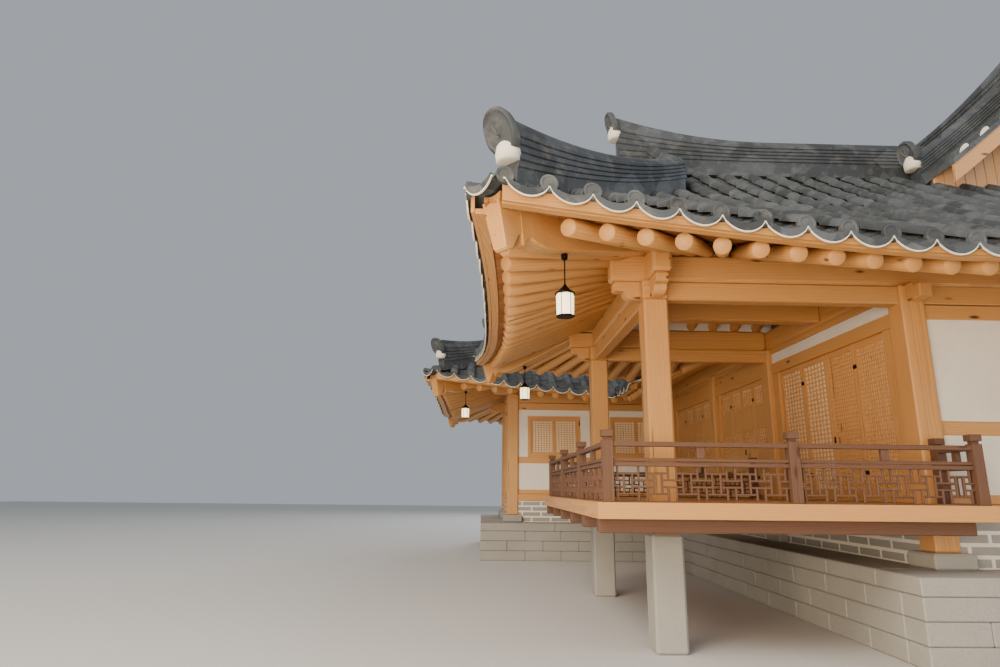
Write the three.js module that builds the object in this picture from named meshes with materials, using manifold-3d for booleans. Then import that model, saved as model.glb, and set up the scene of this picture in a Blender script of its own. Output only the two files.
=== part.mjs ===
// A single-storey hanok in a U plan: a raised open pavilion bay at the front left, a deep wing
// that runs back on the right, and a back wing that returns to the left across the far end.
// Units are millimetres, +Z is up. The pieces are laid out from the axis of the pavilion's
// front left column, and the finished group is moved so that its origin lies on the ground
// under the middle of the whole house.
import * as THREE from 'three';
import { mergeVertices } from 'three/addons/utils/BufferGeometryUtils.js';
import Module from 'manifold-3d';

const wasm = await Module();
wasm.setup();

// Plan: column lines
const BAY = 2700;
const COLUMN = 250;
const HALF_COLUMN = COLUMN / 2;
const PAVILION_DEPTH = 3240;
const COURT_BAYS = [2400, 2700];
const BACK_DEPTH = 3600;
const BACK_BAY = 1885;
const X_PAVILION = 0;
const X_COURT = BAY;
const X_MIDDLE = 2 * BAY;
const X_RIGHT = 3 * BAY;
const X_BACK_MIDDLE = X_COURT - BACK_BAY;
const X_BACK_LEFT = X_COURT - 2 * BACK_BAY;
const Y_FRONT = 0;
const Y_PAVILION = PAVILION_DEPTH;
const Y_COURT = Y_PAVILION + COURT_BAYS[0];
const Y_BACK = Y_COURT + COURT_BAYS[1];
const Y_REAR = Y_BACK + BACK_DEPTH;
const Y_BACK_MIDDLE = (Y_BACK + Y_REAR) / 2;

// Heights above the ground
const PLATFORM_TOP = 750;
const PLATFORM_REACH = 700;
const BASE_STONE_TOP = 900;
const STONE_POST_TOP = 1050;
const FLOOR_UNDER = 1200;
const FLOOR = 1350;
const SILL = 2020;
const SILL_TOP = 2160;
const DOOR_HEAD = 3190;
const WALL_HEAD = 3220;
const HEAD_TOP = 3350;
const COURT_LINTEL = 3500;
const LINTEL = 3380;
const COLUMN_TOP = 3580;

// Roof: distance from the eave line gives the height of the tiles and of the rafter tops
const OVERHANG = 1750;
const EAVE_TOP = 3505;
const ROOF_SLOPE = 0.56;
const ROOF_CURVE = 0.000036;
const RAFTER_TOP = 3365;
const RAFTER_SLOPE = 0.42;
const RAFTER_INSET = 250;
const UPPER_SLOPE = 0.6;
const CORNER_LIFT = 390;
const CORNER_REACH = 3900;
const CORNER_POWER = 1.3;
const CORNER_FLARE = 200;
const EAVE_STEPS = [400, 1100, 2100, 3300];
const TILE_THICKNESS = 90;
const VERGE_THICKNESS = 150;
const TILE_LIP = 170;
const SEAM = 0.3;
const WELD = 0.01;

// Rafters and purlins
const RAFTER = 150;
const RAFTER_SIDES = 4;
const RAFTER_RADIUS = RAFTER / 2 * Math.sqrt(Math.PI / 2);
const RAFTER_PITCH = 320;
const RAFTER_FLARE = 0.8;
const PURLIN = 200;
const HIP_RAFTER = 180;

const PALETTE = {
  granite: { color: 0xa8a39a, roughness: 0.9, metalness: 0 },
  pine: { color: 0xc98a4b, roughness: 0.6, metalness: 0 },
  weathered: { color: 0x7a4a2c, roughness: 0.75, metalness: 0 },
  plaster: { color: 0xe9dcc6, roughness: 0.95, metalness: 0 },
  tile: { color: 0x3b3733, roughness: 0.8, metalness: 0 },
  paper: { color: 0xdcc193, roughness: 0.9, metalness: 0 },
  glass: { color: 0xfff3da, roughness: 0.3, metalness: 0 },
};

const house = new THREE.Group();

// Solids and joins

function solid(geometry) {
  const bare = geometry.clone();
  bare.deleteAttribute('normal');
  bare.deleteAttribute('uv');
  const merged = mergeVertices(bare, 0.0001);
  return new wasm.Manifold(new wasm.Mesh({
    numProp: 3,
    vertProperties: new Float32Array(merged.attributes.position.array),
    triVerts: new Uint32Array(merged.index.array),
  }));
}

function join(solids) {
  return solids.reduce((whole, next) => whole.add(next));
}

// Surface of a solid, with points closer than the weld made one and the faces lost by that left out
function welded(mesh) {
  const rough = new THREE.BufferGeometry();
  rough.setAttribute('position', new THREE.BufferAttribute(mesh.vertProperties, 3));
  rough.setIndex(new THREE.BufferAttribute(mesh.triVerts, 1));
  const surface = mergeVertices(rough, WELD);
  const faces = [];
  for (let i = 0; i < surface.index.count; i += 3) {
    const corners = [0, 1, 2].map((k) => surface.index.getX(i + k));
    if (new Set(corners).size === 3) faces.push(...corners);
  }
  surface.setIndex(faces);
  return surface;
}

function add(name, finish, solids) {
  const mesh = join(solids).getMesh();
  const geometry = welded(mesh);
  geometry.computeVertexNormals();
  const piece = new THREE.Mesh(geometry, new THREE.MeshStandardMaterial(PALETTE[finish]));
  piece.name = name;
  house.add(piece);
}

function box(x0, x1, y0, y1, z0, z1) {
  const geometry = new THREE.BoxGeometry(x1 - x0, y1 - y0, z1 - z0);
  geometry.translate((x0 + x1) / 2, (y0 + y1) / 2, (z0 + z1) / 2);
  return solid(geometry);
}

function outline(points) {
  return new THREE.Shape(points.map(([x, y]) => new THREE.Vector2(x, y)));
}

// Upright prism over a plan outline
function prism(points, z0, z1) {
  const geometry = new THREE.ExtrudeGeometry(outline(points), { depth: z1 - z0, bevelEnabled: false });
  geometry.translate(0, 0, z0);
  return solid(geometry);
}

// Plate whose outline stands in the XZ plane, from y0 to y1
function plateAlongX(points, y0, y1) {
  const geometry = new THREE.ExtrudeGeometry(outline(points), { depth: y1 - y0, bevelEnabled: false });
  geometry.rotateX(Math.PI / 2);
  geometry.translate(0, y1, 0);
  return solid(geometry);
}

// Plate whose outline stands in the YZ plane, from x0 to x1
function plateAlongY(points, x0, x1) {
  const geometry = new THREE.ExtrudeGeometry(outline(points), { depth: x1 - x0, bevelEnabled: false });
  geometry.rotateX(Math.PI / 2);
  geometry.rotateZ(Math.PI / 2);
  geometry.translate(x0, 0, 0);
  return solid(geometry);
}

// Moves each edge of a counter-clockwise outline inwards by the same amount
function inset(points, amount) {
  return points.map((point, i) => {
    const before = points[(i + points.length - 1) % points.length];
    const after = points[(i + 1) % points.length];
    const a = new THREE.Vector2(point[0] - before[0], point[1] - before[1]).normalize();
    const b = new THREE.Vector2(after[0] - point[0], after[1] - point[1]).normalize();
    const normal = new THREE.Vector2(-a.y - b.y, a.x + b.x);
    const scale = amount / (1 + a.dot(b));
    return [point[0] + normal.x * scale, point[1] + normal.y * scale];
  });
}

// Roof surfaces

const EAVES = {
  front: Y_FRONT - OVERHANG,
  pavilionLeft: X_PAVILION - OVERHANG,
  pavilionBack: Y_PAVILION + OVERHANG,
  court: X_COURT - OVERHANG,
  backFront: Y_BACK - OVERHANG,
  backLeft: X_BACK_LEFT - OVERHANG,
  rear: Y_REAR + OVERHANG,
  right: X_RIGHT + OVERHANG,
};
const Y_PAVILION_RIDGE = (Y_FRONT + Y_PAVILION) / 2;
const Y_BACK_RIDGE = Y_BACK_MIDDLE;
const X_WING_RIDGE = (X_COURT + X_RIGHT) / 2;
const PAVILION_RISE = Y_PAVILION_RIDGE - EAVES.front;
const BACK_RISE = Y_BACK_RIDGE - EAVES.backFront;
const WING_RISE = X_WING_RIDGE - EAVES.court;

// Outer corners of the eaves, each with the directions that lead inwards
const CORNERS = {
  pavilionFront: { x: EAVES.pavilionLeft, y: EAVES.front, inX: 1, inY: 1 },
  pavilionBack: { x: EAVES.pavilionLeft, y: EAVES.pavilionBack, inX: 1, inY: -1 },
  wingFront: { x: EAVES.right, y: EAVES.front, inX: -1, inY: 1 },
  wingRear: { x: EAVES.right, y: EAVES.rear, inX: -1, inY: -1 },
  backFront: { x: EAVES.backLeft, y: EAVES.backFront, inX: 1, inY: 1 },
  backRear: { x: EAVES.backLeft, y: EAVES.rear, inX: 1, inY: -1 },
};

function fade(distance) {
  if (distance < -2 * CORNER_FLARE) return 0;
  return Math.max(0, 1 - Math.max(0, distance) / CORNER_REACH) ** CORNER_POWER;
}

// How far the eave turns up near the outer corners
function lift(x, y) {
  return Object.values(CORNERS).reduce((sum, c) =>
    sum + CORNER_LIFT * fade((x - c.x) * c.inX) * fade((y - c.y) * c.inY), 0);
}

function tileHeight(distance) {
  return EAVE_TOP + ROOF_SLOPE * distance + ROOF_CURVE * distance * distance;
}

function rafterHeight(distance) {
  const upper = Math.max(0, distance - CORNER_REACH);
  return RAFTER_TOP + RAFTER_SLOPE * (distance - RAFTER_INSET) + UPPER_SLOPE * upper;
}

// Line of points along an eave, which swings outwards at each outer corner it reaches
function eaveLine(from, to, fromCorner, toCorner) {
  const length = Math.hypot(to[0] - from[0], to[1] - from[1]);
  const along = [(to[0] - from[0]) / length, (to[1] - from[1]) / length];
  const outward = [along[1], -along[0]];
  const stations = [];
  if (fromCorner) stations.push(-CORNER_FLARE, ...EAVE_STEPS.filter((s) => s < length));
  else stations.push(0);
  const mirrored = EAVE_STEPS.map((s) => length - s).filter((s) => s > 0);
  if (toCorner) stations.push(...mirrored, length + CORNER_FLARE);
  else stations.push(length);
  return [...new Set(stations)].sort((a, b) => a - b).map((s) => {
    const valley = (s === 0 && !fromCorner) || (s === length && !toCorner);
    const swing = valley ? 0 : CORNER_FLARE
      * ((fromCorner ? fade(s) ** 2 : 0) + (toCorner ? fade(length - s) ** 2 : 0));
    return [from[0] + along[0] * s + outward[0] * swing, from[1] + along[1] * s + outward[1] * swing];
  });
}

// Gables: plan lines of the left ones, the wing's distance from its eaves, and the verge's reach
const GABLE_BOARD = 100;
const VERGE = 480;
const VERGE_FOOT = 170;
const PAVILION_GABLE = X_PAVILION + 530;
const BACK_GABLE = X_BACK_LEFT + 550;
const WING_GABLE = OVERHANG + 1300;
const Y_WING_GABLE = EAVES.front + WING_GABLE;
const Y_REAR_GABLE = EAVES.rear - WING_GABLE;

const LEFT_FRONT = [EAVES.pavilionLeft, EAVES.front];
const LEFT_BACK = [EAVES.pavilionLeft, EAVES.pavilionBack];

// The eight slopes. Each runs counter-clockwise in plan and rises with its distance from the eave.
const SLOPES = {
  front: {
    rise: (x, y) => y - EAVES.front,
    eave: () => eaveLine(LEFT_FRONT, [EAVES.right, EAVES.front], true, true),
    upper: [
      [EAVES.right - WING_GABLE + GABLE_BOARD, Y_WING_GABLE - GABLE_BOARD],
      [EAVES.court + WING_GABLE - GABLE_BOARD, Y_WING_GABLE - GABLE_BOARD],
      [EAVES.court + PAVILION_RISE, Y_PAVILION_RIDGE],
      [PAVILION_GABLE, Y_PAVILION_RIDGE],
      [PAVILION_GABLE, PAVILION_GABLE],
    ],
    verges: [[
      [PAVILION_GABLE - VERGE, PAVILION_GABLE + VERGE_FOOT],
      [PAVILION_GABLE + 1, PAVILION_GABLE + VERGE_FOOT],
      [PAVILION_GABLE + 1, Y_PAVILION_RIDGE],
      [PAVILION_GABLE - VERGE, Y_PAVILION_RIDGE],
    ]],
    inward: [0, 1],
  },
  pavilion_left: {
    rise: (x) => x - EAVES.pavilionLeft,
    eave: () => eaveLine(LEFT_BACK, LEFT_FRONT, true, true),
    upper: [
      [PAVILION_GABLE - GABLE_BOARD, PAVILION_GABLE - GABLE_BOARD],
      [PAVILION_GABLE - GABLE_BOARD, 2 * Y_PAVILION_RIDGE - PAVILION_GABLE + GABLE_BOARD],
    ],
    verges: [],
    inward: [1, 0],
  },
  pavilion_back: {
    rise: (x, y) => EAVES.pavilionBack - y,
    eave: () => eaveLine([EAVES.court, EAVES.pavilionBack], LEFT_BACK, false, true),
    upper: [
      [PAVILION_GABLE, 2 * Y_PAVILION_RIDGE - PAVILION_GABLE],
      [PAVILION_GABLE, Y_PAVILION_RIDGE],
      [EAVES.court + PAVILION_RISE, Y_PAVILION_RIDGE],
    ],
    verges: [[
      [PAVILION_GABLE - VERGE, Y_PAVILION_RIDGE],
      [PAVILION_GABLE + 1, Y_PAVILION_RIDGE],
      [PAVILION_GABLE + 1, 2 * Y_PAVILION_RIDGE - PAVILION_GABLE - VERGE_FOOT],
      [PAVILION_GABLE - VERGE, 2 * Y_PAVILION_RIDGE - PAVILION_GABLE - VERGE_FOOT],
    ]],
    inward: [0, -1],
  },
  court: {
    rise: (x) => x - EAVES.court,
    eave: () => eaveLine([EAVES.court, EAVES.backFront], [EAVES.court, EAVES.pavilionBack], false, false),
    upper: [
      [EAVES.court + PAVILION_RISE, Y_PAVILION_RIDGE],
      [EAVES.court + WING_GABLE, Y_WING_GABLE],
      [X_WING_RIDGE, Y_WING_GABLE],
      [X_WING_RIDGE, Y_REAR_GABLE],
      [EAVES.court + WING_GABLE, Y_REAR_GABLE],
      [EAVES.court + BACK_RISE, Y_BACK_RIDGE],
    ],
    verges: [[
      [EAVES.court + WING_GABLE + VERGE_FOOT, Y_WING_GABLE - VERGE],
      [X_WING_RIDGE, Y_WING_GABLE - VERGE],
      [X_WING_RIDGE, Y_WING_GABLE + 1],
      [EAVES.court + WING_GABLE + VERGE_FOOT, Y_WING_GABLE + 1],
    ], [
      [EAVES.court + WING_GABLE + VERGE_FOOT, Y_REAR_GABLE - 1],
      [X_WING_RIDGE, Y_REAR_GABLE - 1],
      [X_WING_RIDGE, Y_REAR_GABLE + VERGE],
      [EAVES.court + WING_GABLE + VERGE_FOOT, Y_REAR_GABLE + VERGE],
    ]],
    inward: [1, 0],
  },
  back_front: {
    rise: (x, y) => y - EAVES.backFront,
    eave: () => eaveLine([EAVES.backLeft, EAVES.backFront], [EAVES.court, EAVES.backFront], true, false),
    upper: [
      [EAVES.court + BACK_RISE, Y_BACK_RIDGE],
      [BACK_GABLE, Y_BACK_RIDGE],
      [BACK_GABLE, EAVES.backFront + BACK_GABLE - EAVES.backLeft],
    ],
    verges: [[
      [BACK_GABLE - VERGE, EAVES.backFront + BACK_GABLE - EAVES.backLeft + VERGE_FOOT],
      [BACK_GABLE + 1, EAVES.backFront + BACK_GABLE - EAVES.backLeft + VERGE_FOOT],
      [BACK_GABLE + 1, Y_BACK_RIDGE],
      [BACK_GABLE - VERGE, Y_BACK_RIDGE],
    ]],
    inward: [0, 1],
  },
  back_left: {
    rise: (x) => x - EAVES.backLeft,
    eave: () => eaveLine([EAVES.backLeft, EAVES.rear], [EAVES.backLeft, EAVES.backFront], true, true),
    upper: [
      [BACK_GABLE - GABLE_BOARD, EAVES.backFront + BACK_GABLE - EAVES.backLeft - GABLE_BOARD],
      [BACK_GABLE - GABLE_BOARD, EAVES.rear - BACK_GABLE + EAVES.backLeft + GABLE_BOARD],
    ],
    verges: [],
    inward: [1, 0],
  },
  rear: {
    rise: (x, y) => EAVES.rear - y,
    eave: () => eaveLine([EAVES.right, EAVES.rear], [EAVES.backLeft, EAVES.rear], true, true),
    upper: [
      [BACK_GABLE, EAVES.rear - BACK_GABLE + EAVES.backLeft],
      [BACK_GABLE, Y_BACK_RIDGE],
      [EAVES.court + BACK_RISE, Y_BACK_RIDGE],
      [EAVES.court + WING_GABLE - GABLE_BOARD, Y_REAR_GABLE + GABLE_BOARD],
      [EAVES.right - WING_GABLE + GABLE_BOARD, Y_REAR_GABLE + GABLE_BOARD],
    ],
    verges: [[
      [BACK_GABLE - VERGE, Y_BACK_RIDGE],
      [BACK_GABLE + 1, Y_BACK_RIDGE],
      [BACK_GABLE + 1, EAVES.rear - BACK_GABLE + EAVES.backLeft - VERGE_FOOT],
      [BACK_GABLE - VERGE, EAVES.rear - BACK_GABLE + EAVES.backLeft - VERGE_FOOT],
    ]],
    inward: [0, -1],
  },
  right: {
    rise: (x) => EAVES.right - x,
    eave: () => eaveLine([EAVES.right, EAVES.front], [EAVES.right, EAVES.rear], true, true),
    upper: [
      [EAVES.right - WING_GABLE, Y_REAR_GABLE],
      [X_WING_RIDGE, Y_REAR_GABLE],
      [X_WING_RIDGE, Y_WING_GABLE],
      [EAVES.right - WING_GABLE, Y_WING_GABLE],
    ],
    verges: [[
      [X_WING_RIDGE, Y_WING_GABLE - VERGE],
      [EAVES.right - WING_GABLE - VERGE_FOOT, Y_WING_GABLE - VERGE],
      [EAVES.right - WING_GABLE - VERGE_FOOT, Y_WING_GABLE + 1],
      [X_WING_RIDGE, Y_WING_GABLE + 1],
    ], [
      [X_WING_RIDGE, Y_REAR_GABLE - 1],
      [EAVES.right - WING_GABLE - VERGE_FOOT, Y_REAR_GABLE - 1],
      [EAVES.right - WING_GABLE - VERGE_FOOT, Y_REAR_GABLE + VERGE],
      [X_WING_RIDGE, Y_REAR_GABLE + VERGE],
    ]],
    inward: [-1, 0],
  },
};

// Stations for a curved surface: close together near the outer corners, wider elsewhere
const NEAR = 900;
const MIDWAY = NEAR + X_PAVILION - X_BACK_LEFT;
const GRID_EDGE = 450;
const GRID_X = [
  EAVES.backLeft - GRID_EDGE, EAVES.backLeft, EAVES.pavilionLeft, EAVES.pavilionLeft + NEAR,
  EAVES.pavilionLeft + MIDWAY, EAVES.pavilionLeft + CORNER_REACH, (X_COURT + X_MIDDLE) / 2, X_WING_RIDGE,
  EAVES.right - CORNER_REACH, EAVES.right - MIDWAY, EAVES.right - NEAR, EAVES.right, EAVES.right + GRID_EDGE,
];
const GRID_Y = [
  EAVES.front - GRID_EDGE, EAVES.front, EAVES.front + NEAR, EAVES.front + MIDWAY, EAVES.front + CORNER_REACH,
  EAVES.pavilionBack - NEAR, EAVES.pavilionBack, Y_COURT, EAVES.backFront, EAVES.backFront + NEAR,
  EAVES.backFront + MIDWAY, Y_BACK_RIDGE, EAVES.rear - MIDWAY, EAVES.rear - NEAR, EAVES.rear,
  EAVES.rear + GRID_EDGE,
];
const DEEP = 2000;
const HIGH = 8500;

// Solid between a lower and an upper surface, over the whole plan of the grid
function between(lower, upper, xs, ys) {
  const positions = [];
  const index = [];
  const columns = xs.length;
  const rows = ys.length;
  for (const surface of [lower, upper]) {
    for (const y of ys) {
      for (const x of xs) positions.push(x, y, surface(x, y));
    }
  }
  const at = (layer, i, j) => layer * columns * rows + j * columns + i;
  const quad = (a, b, c, d) => index.push(a, b, c, a, c, d);
  for (let j = 0; j < rows - 1; j += 1) {
    for (let i = 0; i < columns - 1; i += 1) {
      quad(at(1, i, j), at(1, i + 1, j), at(1, i + 1, j + 1), at(1, i, j + 1));
      quad(at(0, i, j), at(0, i, j + 1), at(0, i + 1, j + 1), at(0, i + 1, j));
    }
  }
  for (let i = 0; i < columns - 1; i += 1) {
    quad(at(0, i, 0), at(0, i + 1, 0), at(1, i + 1, 0), at(1, i, 0));
    quad(at(0, i + 1, rows - 1), at(0, i, rows - 1), at(1, i, rows - 1), at(1, i + 1, rows - 1));
  }
  for (let j = 0; j < rows - 1; j += 1) {
    quad(at(0, 0, j + 1), at(0, 0, j), at(1, 0, j), at(1, 0, j + 1));
    quad(at(0, columns - 1, j), at(0, columns - 1, j + 1), at(1, columns - 1, j + 1), at(1, columns - 1, j));
  }
  const geometry = new THREE.BufferGeometry();
  geometry.setAttribute('position', new THREE.Float32BufferAttribute(positions, 3));
  geometry.setIndex(index);
  return solid(geometry);
}

// The grid stations that a plan outline needs, with one more on each side
function stations(all, values) {
  const low = Math.min(...values);
  const high = Math.max(...values);
  const first = all.findIndex((s) => s > low) - 1;
  const last = all.findIndex((s) => s >= high);
  return all.slice(Math.max(0, first), last + 1);
}

function surfaceSolid(slope, lower, upper, plan) {
  const xs = stations(GRID_X, plan.map((p) => p[0]));
  const ys = stations(GRID_Y, plan.map((p) => p[1]));
  return between(
    (x, y) => (typeof lower === 'number' ? lower : lower(slope.rise(x, y)) + lift(x, y)),
    (x, y) => (typeof upper === 'number' ? upper : upper(slope.rise(x, y)) + lift(x, y)),
    xs, ys,
  ).intersect(prism(plan, DEEP, HIGH));
}

// Eave outline moved inwards, up to the foot of the upper outline
function slopePlan(slope, eaveInset) {
  const eave = slope.eave();
  const shift = [slope.inward[0] * eaveInset, slope.inward[1] * eaveInset];
  const last = eave.length - 1;
  const slide = eave.map(([x, y], i) => {
    const next = i === last ? slope.upper[0] : slope.upper[slope.upper.length - 1];
    if (i !== 0 && i !== last) return [x + shift[0], y + shift[1]];
    const run = Math.abs((next[0] - x) * slope.inward[0] + (next[1] - y) * slope.inward[1]);
    const t = eaveInset / run;
    return [x + (next[0] - x) * t, y + (next[1] - y) * t];
  });
  return [...slide, ...slope.upper];
}

// Roof slopes: tiles over an earth and board bed that thins towards the eave
function roofSlope(slope) {
  const tiles = slopePlan(slope, 0);
  const bed = slopePlan(slope, TILE_LIP);
  const parts = [
    surfaceSolid(slope, (d) => tileHeight(d) - TILE_THICKNESS, tileHeight, inset(tiles, SEAM / 2)),
    surfaceSolid(slope, rafterHeight, (d) => tileHeight(d) - TILE_THICKNESS / 2, inset(bed, SEAM / 2)),
  ];
  for (const verge of slope.verges) {
    const below = (d) => tileHeight(d) - VERGE_THICKNESS;
    parts.push(surfaceSolid(slope, below, tileHeight, inset(verge, SEAM / 2)));
  }
  return parts;
}

for (const [name, slope] of Object.entries(SLOPES)) {
  add(`roof_${name}`, 'tile', roofSlope(slope));
}

// Space under the tiles or under the rafters' tops, used to fit other pieces against a slope
function under(slope, height, offset, xRange, yRange) {
  return between(() => DEEP, (x, y) => height(slope.rise(x, y)) + lift(x, y) + offset,
    stations(GRID_X, xRange), stations(GRID_Y, yRange));
}

// Height of a surface as its flat-faced grid has it, between the stations
function onGrid(height, x, y) {
  const i = Math.min(GRID_X.findIndex((s) => s > x), GRID_X.length - 1) - 1;
  const j = Math.min(GRID_Y.findIndex((s) => s > y), GRID_Y.length - 1) - 1;
  const u = (x - GRID_X[i]) / (GRID_X[i + 1] - GRID_X[i]);
  const v = (y - GRID_Y[j]) / (GRID_Y[j + 1] - GRID_Y[j]);
  const at = (di, dj) => height(GRID_X[i + di], GRID_Y[j + dj]);
  return u > v
    ? at(0, 0) + u * (at(1, 0) - at(0, 0)) + v * (at(1, 1) - at(1, 0))
    : at(0, 0) + v * (at(0, 1) - at(0, 0)) + u * (at(1, 1) - at(0, 1));
}

// All the space below the tiles' tops, which is taken out of the ridges
function belowTiles(slope) {
  const top = (distance) => tileHeight(distance) + SEAM;
  return join([slopePlan(slope, 0), ...slope.verges].map((plan) =>
    surfaceSolid(slope, DEEP, top, inset(plan, -SEAM))));
}

const underRoof = join(Object.values(SLOPES).map(belowTiles));

// Bar that stands on a straight plan line. The floor and the top are heights along it, from 0 to 1.
function bar(from, to, width, floor, top, fractions) {
  const length = Math.hypot(to[0] - from[0], to[1] - from[1]);
  const lower = fractions.map((t) => [length * t, floor(t)]);
  const upper = fractions.map((t) => [length * t, top(t)]).reverse();
  const shape = outline([...lower, ...upper]);
  const geometry = new THREE.ExtrudeGeometry(shape, { depth: width, bevelEnabled: false });
  geometry.rotateX(Math.PI / 2);
  geometry.translate(0, width / 2, 0);
  geometry.rotateZ(Math.atan2(to[1] - from[1], to[0] - from[0]));
  geometry.translate(from[0], from[1], 0);
  return solid(geometry);
}

function evenly(from, to, count) {
  return Array.from({ length: count + 1 }, (_, i) => from + ((to - from) * i) / count);
}

function span(points, margin) {
  return [0, 1].map((axis) => {
    const values = points.map((p) => p[axis]);
    return [Math.min(...values) - margin, Math.max(...values) + margin];
  });
}

// Ridges: stacked tile courses, closed at a free end by an arched end tile

const RIDGE = { width: 200, main: 390, hip: 340, sunk: 160 };
const MAIN_TIP = { rise: 330, reach: 2100, steps: [450, 1100, 2100] };
const HIP_TIP = { rise: 200, reach: 2600, fractions: [0, 0.3, 0.55, 0.8, 1] };
const END_TILE = { width: 330, height: 410, thickness: 60, lean: 0.26, mainShow: 0.2, hipShow: 0.05 };
const END_SHAPE = { foot: 0.7, bulge: 1.25, shoulder: 0.6 };
const HIP_END = 150;
const BED_IN = 400;

function endTile(x, y, z, direction) {
  const half = END_TILE.width / 2;
  const shape = new THREE.Shape();
  const foot = half * END_SHAPE.foot;
  const bulge = half * END_SHAPE.bulge;
  const shoulder = END_TILE.height * END_SHAPE.shoulder;
  shape.moveTo(-foot, 0);
  shape.lineTo(foot, 0);
  shape.quadraticCurveTo(bulge, shoulder, 0, END_TILE.height);
  shape.quadraticCurveTo(-bulge, shoulder, -foot, 0);
  const geometry = new THREE.ExtrudeGeometry(shape,
    { depth: END_TILE.thickness, bevelEnabled: false, curveSegments: 5 });
  geometry.translate(0, 0, -END_TILE.thickness / 2);
  geometry.rotateX(Math.PI / 2 - END_TILE.lean);
  geometry.rotateZ(Math.PI / 2 + direction);
  geometry.translate(x, y, z);
  return solid(geometry);
}

// One ridge along a plan line, its top at a height above the slope that varies from end to end
function ridge(from, to, base, rise, fractions) {
  const at = (t) => base(from[0] + (to[0] - from[0]) * t, from[1] + (to[1] - from[1]) * t);
  return bar(from, to, RIDGE.width, (t) => at(t) - RIDGE.sunk, (t) => at(t) + rise(t), fractions);
}

function tipRise(distance, tip) {
  return tip.rise * Math.max(0, 1 - distance / tip.reach) ** 2;
}

function surface(slope) {
  return (x, y) => tileHeight(slope.rise(x, y)) + lift(x, y);
}

// A main ridge's free ends rise and carry an end tile. Its other end runs into a slope.
function mainRidge(from, to, slope, freeEnds) {
  const length = Math.hypot(to[0] - from[0], to[1] - from[1]);
  const base = surface(slope)(...from);
  const rise = (t) => RIDGE.main + (freeEnds[0] ? tipRise(length * t, MAIN_TIP) : 0)
    + (freeEnds[1] ? tipRise(length * (1 - t), MAIN_TIP) : 0);
  const direction = Math.atan2(to[1] - from[1], to[0] - from[0]);
  const foot = base + RIDGE.main + MAIN_TIP.rise - END_TILE.height * (1 - END_TILE.mainShow);
  const tips = MAIN_TIP.steps.flatMap((d) => [
    ...(freeEnds[0] ? [d / length] : []), ...(freeEnds[1] ? [1 - d / length] : [])]);
  const fractions = [...new Set([0, 1, ...tips])].sort((a, b) => a - b);
  let whole = ridge(from, to, () => base, rise, fractions);
  if (freeEnds[0]) whole = whole.add(endTile(from[0], from[1], foot, direction + Math.PI));
  if (freeEnds[1]) whole = whole.add(endTile(to[0], to[1], foot, direction));
  return whole;
}

// Descending ridge from the main ridge down the verge
function descendingRidge(top, foot, slope) {
  return ridge(top, foot, surface(slope), () => RIDGE.hip, [0, 0.5, 1]);
}

// Hip ridge from the verge's foot to an outer corner, where it rises to its end tile
function hipRidge(corner, foot, slope) {
  const end = [corner.x + corner.inX * HIP_END, corner.y + corner.inY * HIP_END];
  const base = surface(slope);
  const length = Math.hypot(end[0] - foot[0], end[1] - foot[1]);
  const rise = (t) => RIDGE.hip + tipRise(length * (1 - t), HIP_TIP);
  const direction = Math.atan2(end[1] - foot[1], end[0] - foot[0]);
  const tileFoot = base(...end) + RIDGE.hip + HIP_TIP.rise - END_TILE.height * (1 - END_TILE.hipShow);
  return ridge(foot, end, base, rise, HIP_TIP.fractions).add(endTile(end[0], end[1], tileFoot, direction));
}

const PAVILION_FOOT_Y = 2 * Y_PAVILION_RIDGE - PAVILION_GABLE;
const BACK_FOOT_FRONT = EAVES.backFront + BACK_GABLE - EAVES.backLeft;
const BACK_FOOT_REAR = EAVES.rear - BACK_GABLE + EAVES.backLeft;
const WING_FOOT_LEFT = EAVES.court + WING_GABLE;
const WING_FOOT_RIGHT = EAVES.right - WING_GABLE;

add('pavilion_ridges', 'tile', [join([
  mainRidge([PAVILION_GABLE - VERGE, Y_PAVILION_RIDGE],
    [EAVES.court + PAVILION_RISE + BED_IN, Y_PAVILION_RIDGE], SLOPES.front, [true, false]),
  descendingRidge([PAVILION_GABLE, Y_PAVILION_RIDGE], [PAVILION_GABLE, PAVILION_GABLE], SLOPES.front),
  hipRidge(CORNERS.pavilionFront, [PAVILION_GABLE, PAVILION_GABLE], SLOPES.front),
  descendingRidge([PAVILION_GABLE, Y_PAVILION_RIDGE], [PAVILION_GABLE, PAVILION_FOOT_Y],
    SLOPES.pavilion_back),
  hipRidge(CORNERS.pavilionBack, [PAVILION_GABLE, PAVILION_FOOT_Y], SLOPES.pavilion_back),
]).subtract(underRoof)]);
add('back_wing_ridges', 'tile', [join([
  mainRidge([BACK_GABLE - VERGE, Y_BACK_RIDGE], [EAVES.court + BACK_RISE + BED_IN, Y_BACK_RIDGE],
    SLOPES.back_front, [true, false]),
  descendingRidge([BACK_GABLE, Y_BACK_RIDGE], [BACK_GABLE, BACK_FOOT_FRONT], SLOPES.back_front),
  hipRidge(CORNERS.backFront, [BACK_GABLE, BACK_FOOT_FRONT], SLOPES.back_front),
  descendingRidge([BACK_GABLE, Y_BACK_RIDGE], [BACK_GABLE, BACK_FOOT_REAR], SLOPES.rear),
  hipRidge(CORNERS.backRear, [BACK_GABLE, BACK_FOOT_REAR], SLOPES.rear),
]).subtract(underRoof)]);
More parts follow.
